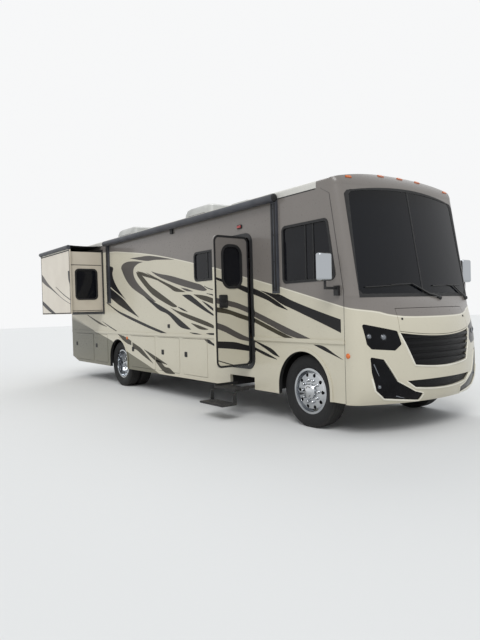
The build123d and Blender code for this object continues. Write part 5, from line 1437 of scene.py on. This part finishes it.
# Chassis and underside
# Black painted steel rails, axles and bumper, bolted together, carry a cast engine and gearbox, a moulded
# fuel tank and a dull steel exhaust.
chassis_black = Finish("chassis_black", Roughness=0.6).blotch(shade(18, 18, 18), shade(38, 35, 31), 6)
chassis_black.grain(60, 4, 0.25, 0.002)
chassis_black.dress("frame_rails", "cross_members", "front_axle", "rear_axle", "rear_bumper", "step_housing",
                    "tie_rod", "knuckle_right", "knuckle_left", "baggage_bays")
cast_iron = Finish("cast_iron", Roughness=0.7).blotch(shade(70, 70, 68), shade(96, 94, 90), 8)
cast_iron.grain(120, 4, 0.3, 0.002).dress("engine_block")
dull_steel = Finish("dull_steel", Roughness=0.5, Metallic=0.8)
dull_steel.blotch(shade(110, 100, 90), shade(140, 132, 122), 7)
dull_steel.grain(80, 3, 0.2, 0.001).dress("exhaust")
tank_black = Finish("tank_black", Roughness=0.55).blotch(shade(26, 26, 27), shade(36, 36, 37), 9)
tank_black.grain(400, 2, 0.15, 0.0005).dress("fuel_tank", "opening_frames", "seat_pedestals")


# Glass and gloss black
# The screen and side windows are dark tinted safety glass, clamped in rubber. Lamps, pods and grille are
# gloss black mouldings clipped into the cap, the grille with a fine mesh behind its bars.
screen_glass = Finish("screen_glass", Alpha=0.95, IOR=1.3)
_, _, screen_z = screen_glass.axes()
SHADE_BAND_Z = 2.80
shade_band = (screen_z - SHADE_BAND_Z).ramp(4.0)
tint = screen_glass.noise(1.5, 2).mix(shade(10, 12, 17), shade(15, 18, 24))
screen_glass.feed("Base Color", shade_band.mix(tint, shade(7, 8, 10)))
screen_glass.sheen(5, 4, 0.05, 0.01).dress("windshield")
dark_glass = Finish("dark_glass", Alpha=0.97, IOR=1.3).blotch(shade(15, 16, 20), shade(22, 23, 27), 2)
dark_glass.sheen(6, 4, 0.06, 0.02)
dark_glass.dress("side_glass", "slide_window", "entry_door_glass")
gloss_black = Finish("gloss_black", IOR=1.22)
gloss_black.blotch(shade(8, 8, 10), shade(16, 16, 19), 7)
gloss_black.sheen(40, 3, 0.12, 0.16).dress("lower_pods", "headlamps")
grille_black = Finish("grille_black", Roughness=0.3, IOR=1.22)
_, grille_y, grille_z = grille_black.axes()
MESH_PITCH = 420
cells = (grille_y * MESH_PITCH).of("SINE") * (grille_z * MESH_PITCH).of("SINE")
grille_black.feed("Base Color", cells.ramp(2.0, 0.4).mix(shade(6, 6, 7), shade(20, 20, 22)))
grille_black.bump(cells, 0.5, 0.002).dress("front_grilles")


# Cab
# Padded seats in stitched tan leather, screwed to black pedestals, a soft dark dashboard, a leather steering
# wheel and a floor of brown boards.
dash_grain = Finish("dash_grain", Roughness=0.7).blotch(shade(52, 49, 46), shade(66, 62, 58), 3)
dash_grain.grain(300, 3, 0.3, 0.001).dress("dashboard")
wheel_leather = Finish("wheel_leather", Roughness=0.5).blotch(shade(22, 22, 23), shade(36, 35, 34), 20)
wheel_leather.grain(500, 3, 0.25, 0.0006).dress("steering_wheel")
board = Finish("floor_board", Roughness=0.55)
along_board, _, _ = board.axes()
PLANK_PITCH = 22
planks = (along_board * PLANK_PITCH).of("SINE").ramp(6.0, 5.4)
brown = board.noise(5, 5).mix(shade(92, 72, 52), shade(122, 98, 72))
board.feed("Base Color", planks.mix(shade(70, 54, 40), brown))
board.bump(planks, 0.3, 0.001).dress("floor")

leather = Finish("leather", Roughness=0.5).blotch(shade(112, 96, 80), shade(138, 121, 102), 6)
leather.grain(350, 4, 0.25, 0.001)
PAD_VOXEL = 0.016
PAD_PRESSURE = 4.0
PAD_RISE = 0.018
BLOW_STEPS = 20
CHANNEL_AT = 0.27
CHANNEL_HALF = 0.014
CHANNEL_DEEP = 0.008


def pad(name, middle, size, lean_deg):
    """A cushion: a rounded block blown up as cloth, its rise held to PAD_RISE, with two sewn channels."""
    block = bmesh.new()
    bmesh.ops.create_cube(block, size=1)
    bmesh.ops.scale(block, vec=size, verts=block.verts)
    bmesh.ops.bevel(block, geom=block.edges, offset=min(size) * 0.3, segments=3, affect="EDGES")
    lean = Matrix.Rotation(math.radians(lean_deg), 3, "Y")
    bmesh.ops.rotate(block, cent=(0, 0, 0), matrix=lean, verts=block.verts)
    bmesh.ops.translate(block, vec=middle, verts=block.verts)
    mesh = bpy.data.meshes.new(name)
    block.to_mesh(mesh)
    block.free()
    cushion = bpy.data.objects.new(name, mesh)
    bpy.context.scene.collection.objects.link(cushion)
    remesh = cushion.modifiers.new("voxels", "REMESH")
    remesh.mode = "VOXEL"
    remesh.voxel_size = PAD_VOXEL
    graph = bpy.context.evaluated_depsgraph_get()
    cushion.data = bpy.data.meshes.new_from_object(cushion.evaluated_get(graph), depsgraph=graph)
    cushion.modifiers.clear()
    rest = [vertex.co.copy() for vertex in cushion.data.vertices]
    cloth_sim = cushion.modifiers.new("blow", "CLOTH")
    cloth_sim.settings.use_pressure = True
    cloth_sim.settings.uniform_pressure_force = PAD_PRESSURE
    cloth_sim.settings.effector_weights.gravity = 0
    cloth_sim.point_cache.frame_start = 1
    cloth_sim.point_cache.frame_end = BLOW_STEPS
    for step in range(1, BLOW_STEPS + 1):
        bpy.context.scene.frame_set(step)
    graph = bpy.context.evaluated_depsgraph_get()
    blown = bpy.data.meshes.new_from_object(cushion.evaluated_get(graph), depsgraph=graph)
    cushion.modifiers.clear()
    for vertex, soft in zip(cushion.data.vertices, blown.vertices):
        moved = soft.co - rest[vertex.index]
        if moved.length > PAD_RISE:
            moved = moved.normalized() * PAD_RISE
        vertex.co = rest[vertex.index] + moved
    bpy.context.scene.frame_set(1)
    upright = Matrix.Rotation(math.radians(-lean_deg), 3, "Y")
    for vertex in cushion.data.vertices:
        local = upright @ (vertex.co - Vector(middle))
        channel = max(0.0, 1 - abs(abs(local.y) - size[1] * CHANNEL_AT) / CHANNEL_HALF)
        vertex.co = vertex.co - vertex.normal * (CHANNEL_DEEP * channel ** 2)
    cushion.data.shade_smooth()
    finer = cushion.modifiers.new("finer", "SUBSURF")
    finer.levels = 1
    finer.render_levels = 1
    cushion.data.materials.clear()
    cushion.data.materials.append(leather.material)
    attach(cushion, "coach")
    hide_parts("seats")


SEAT_Y = 0.620
for side, name in SIDES:
    pad("seat_cushion_" + name, at(-0.455, side * SEAT_Y, 1.578), (0.530, 0.480, 0.085), 0)
    pad("seat_back_" + name, at(-0.790, side * SEAT_Y, 1.980), (0.090, 0.470, 0.700), -11.5)
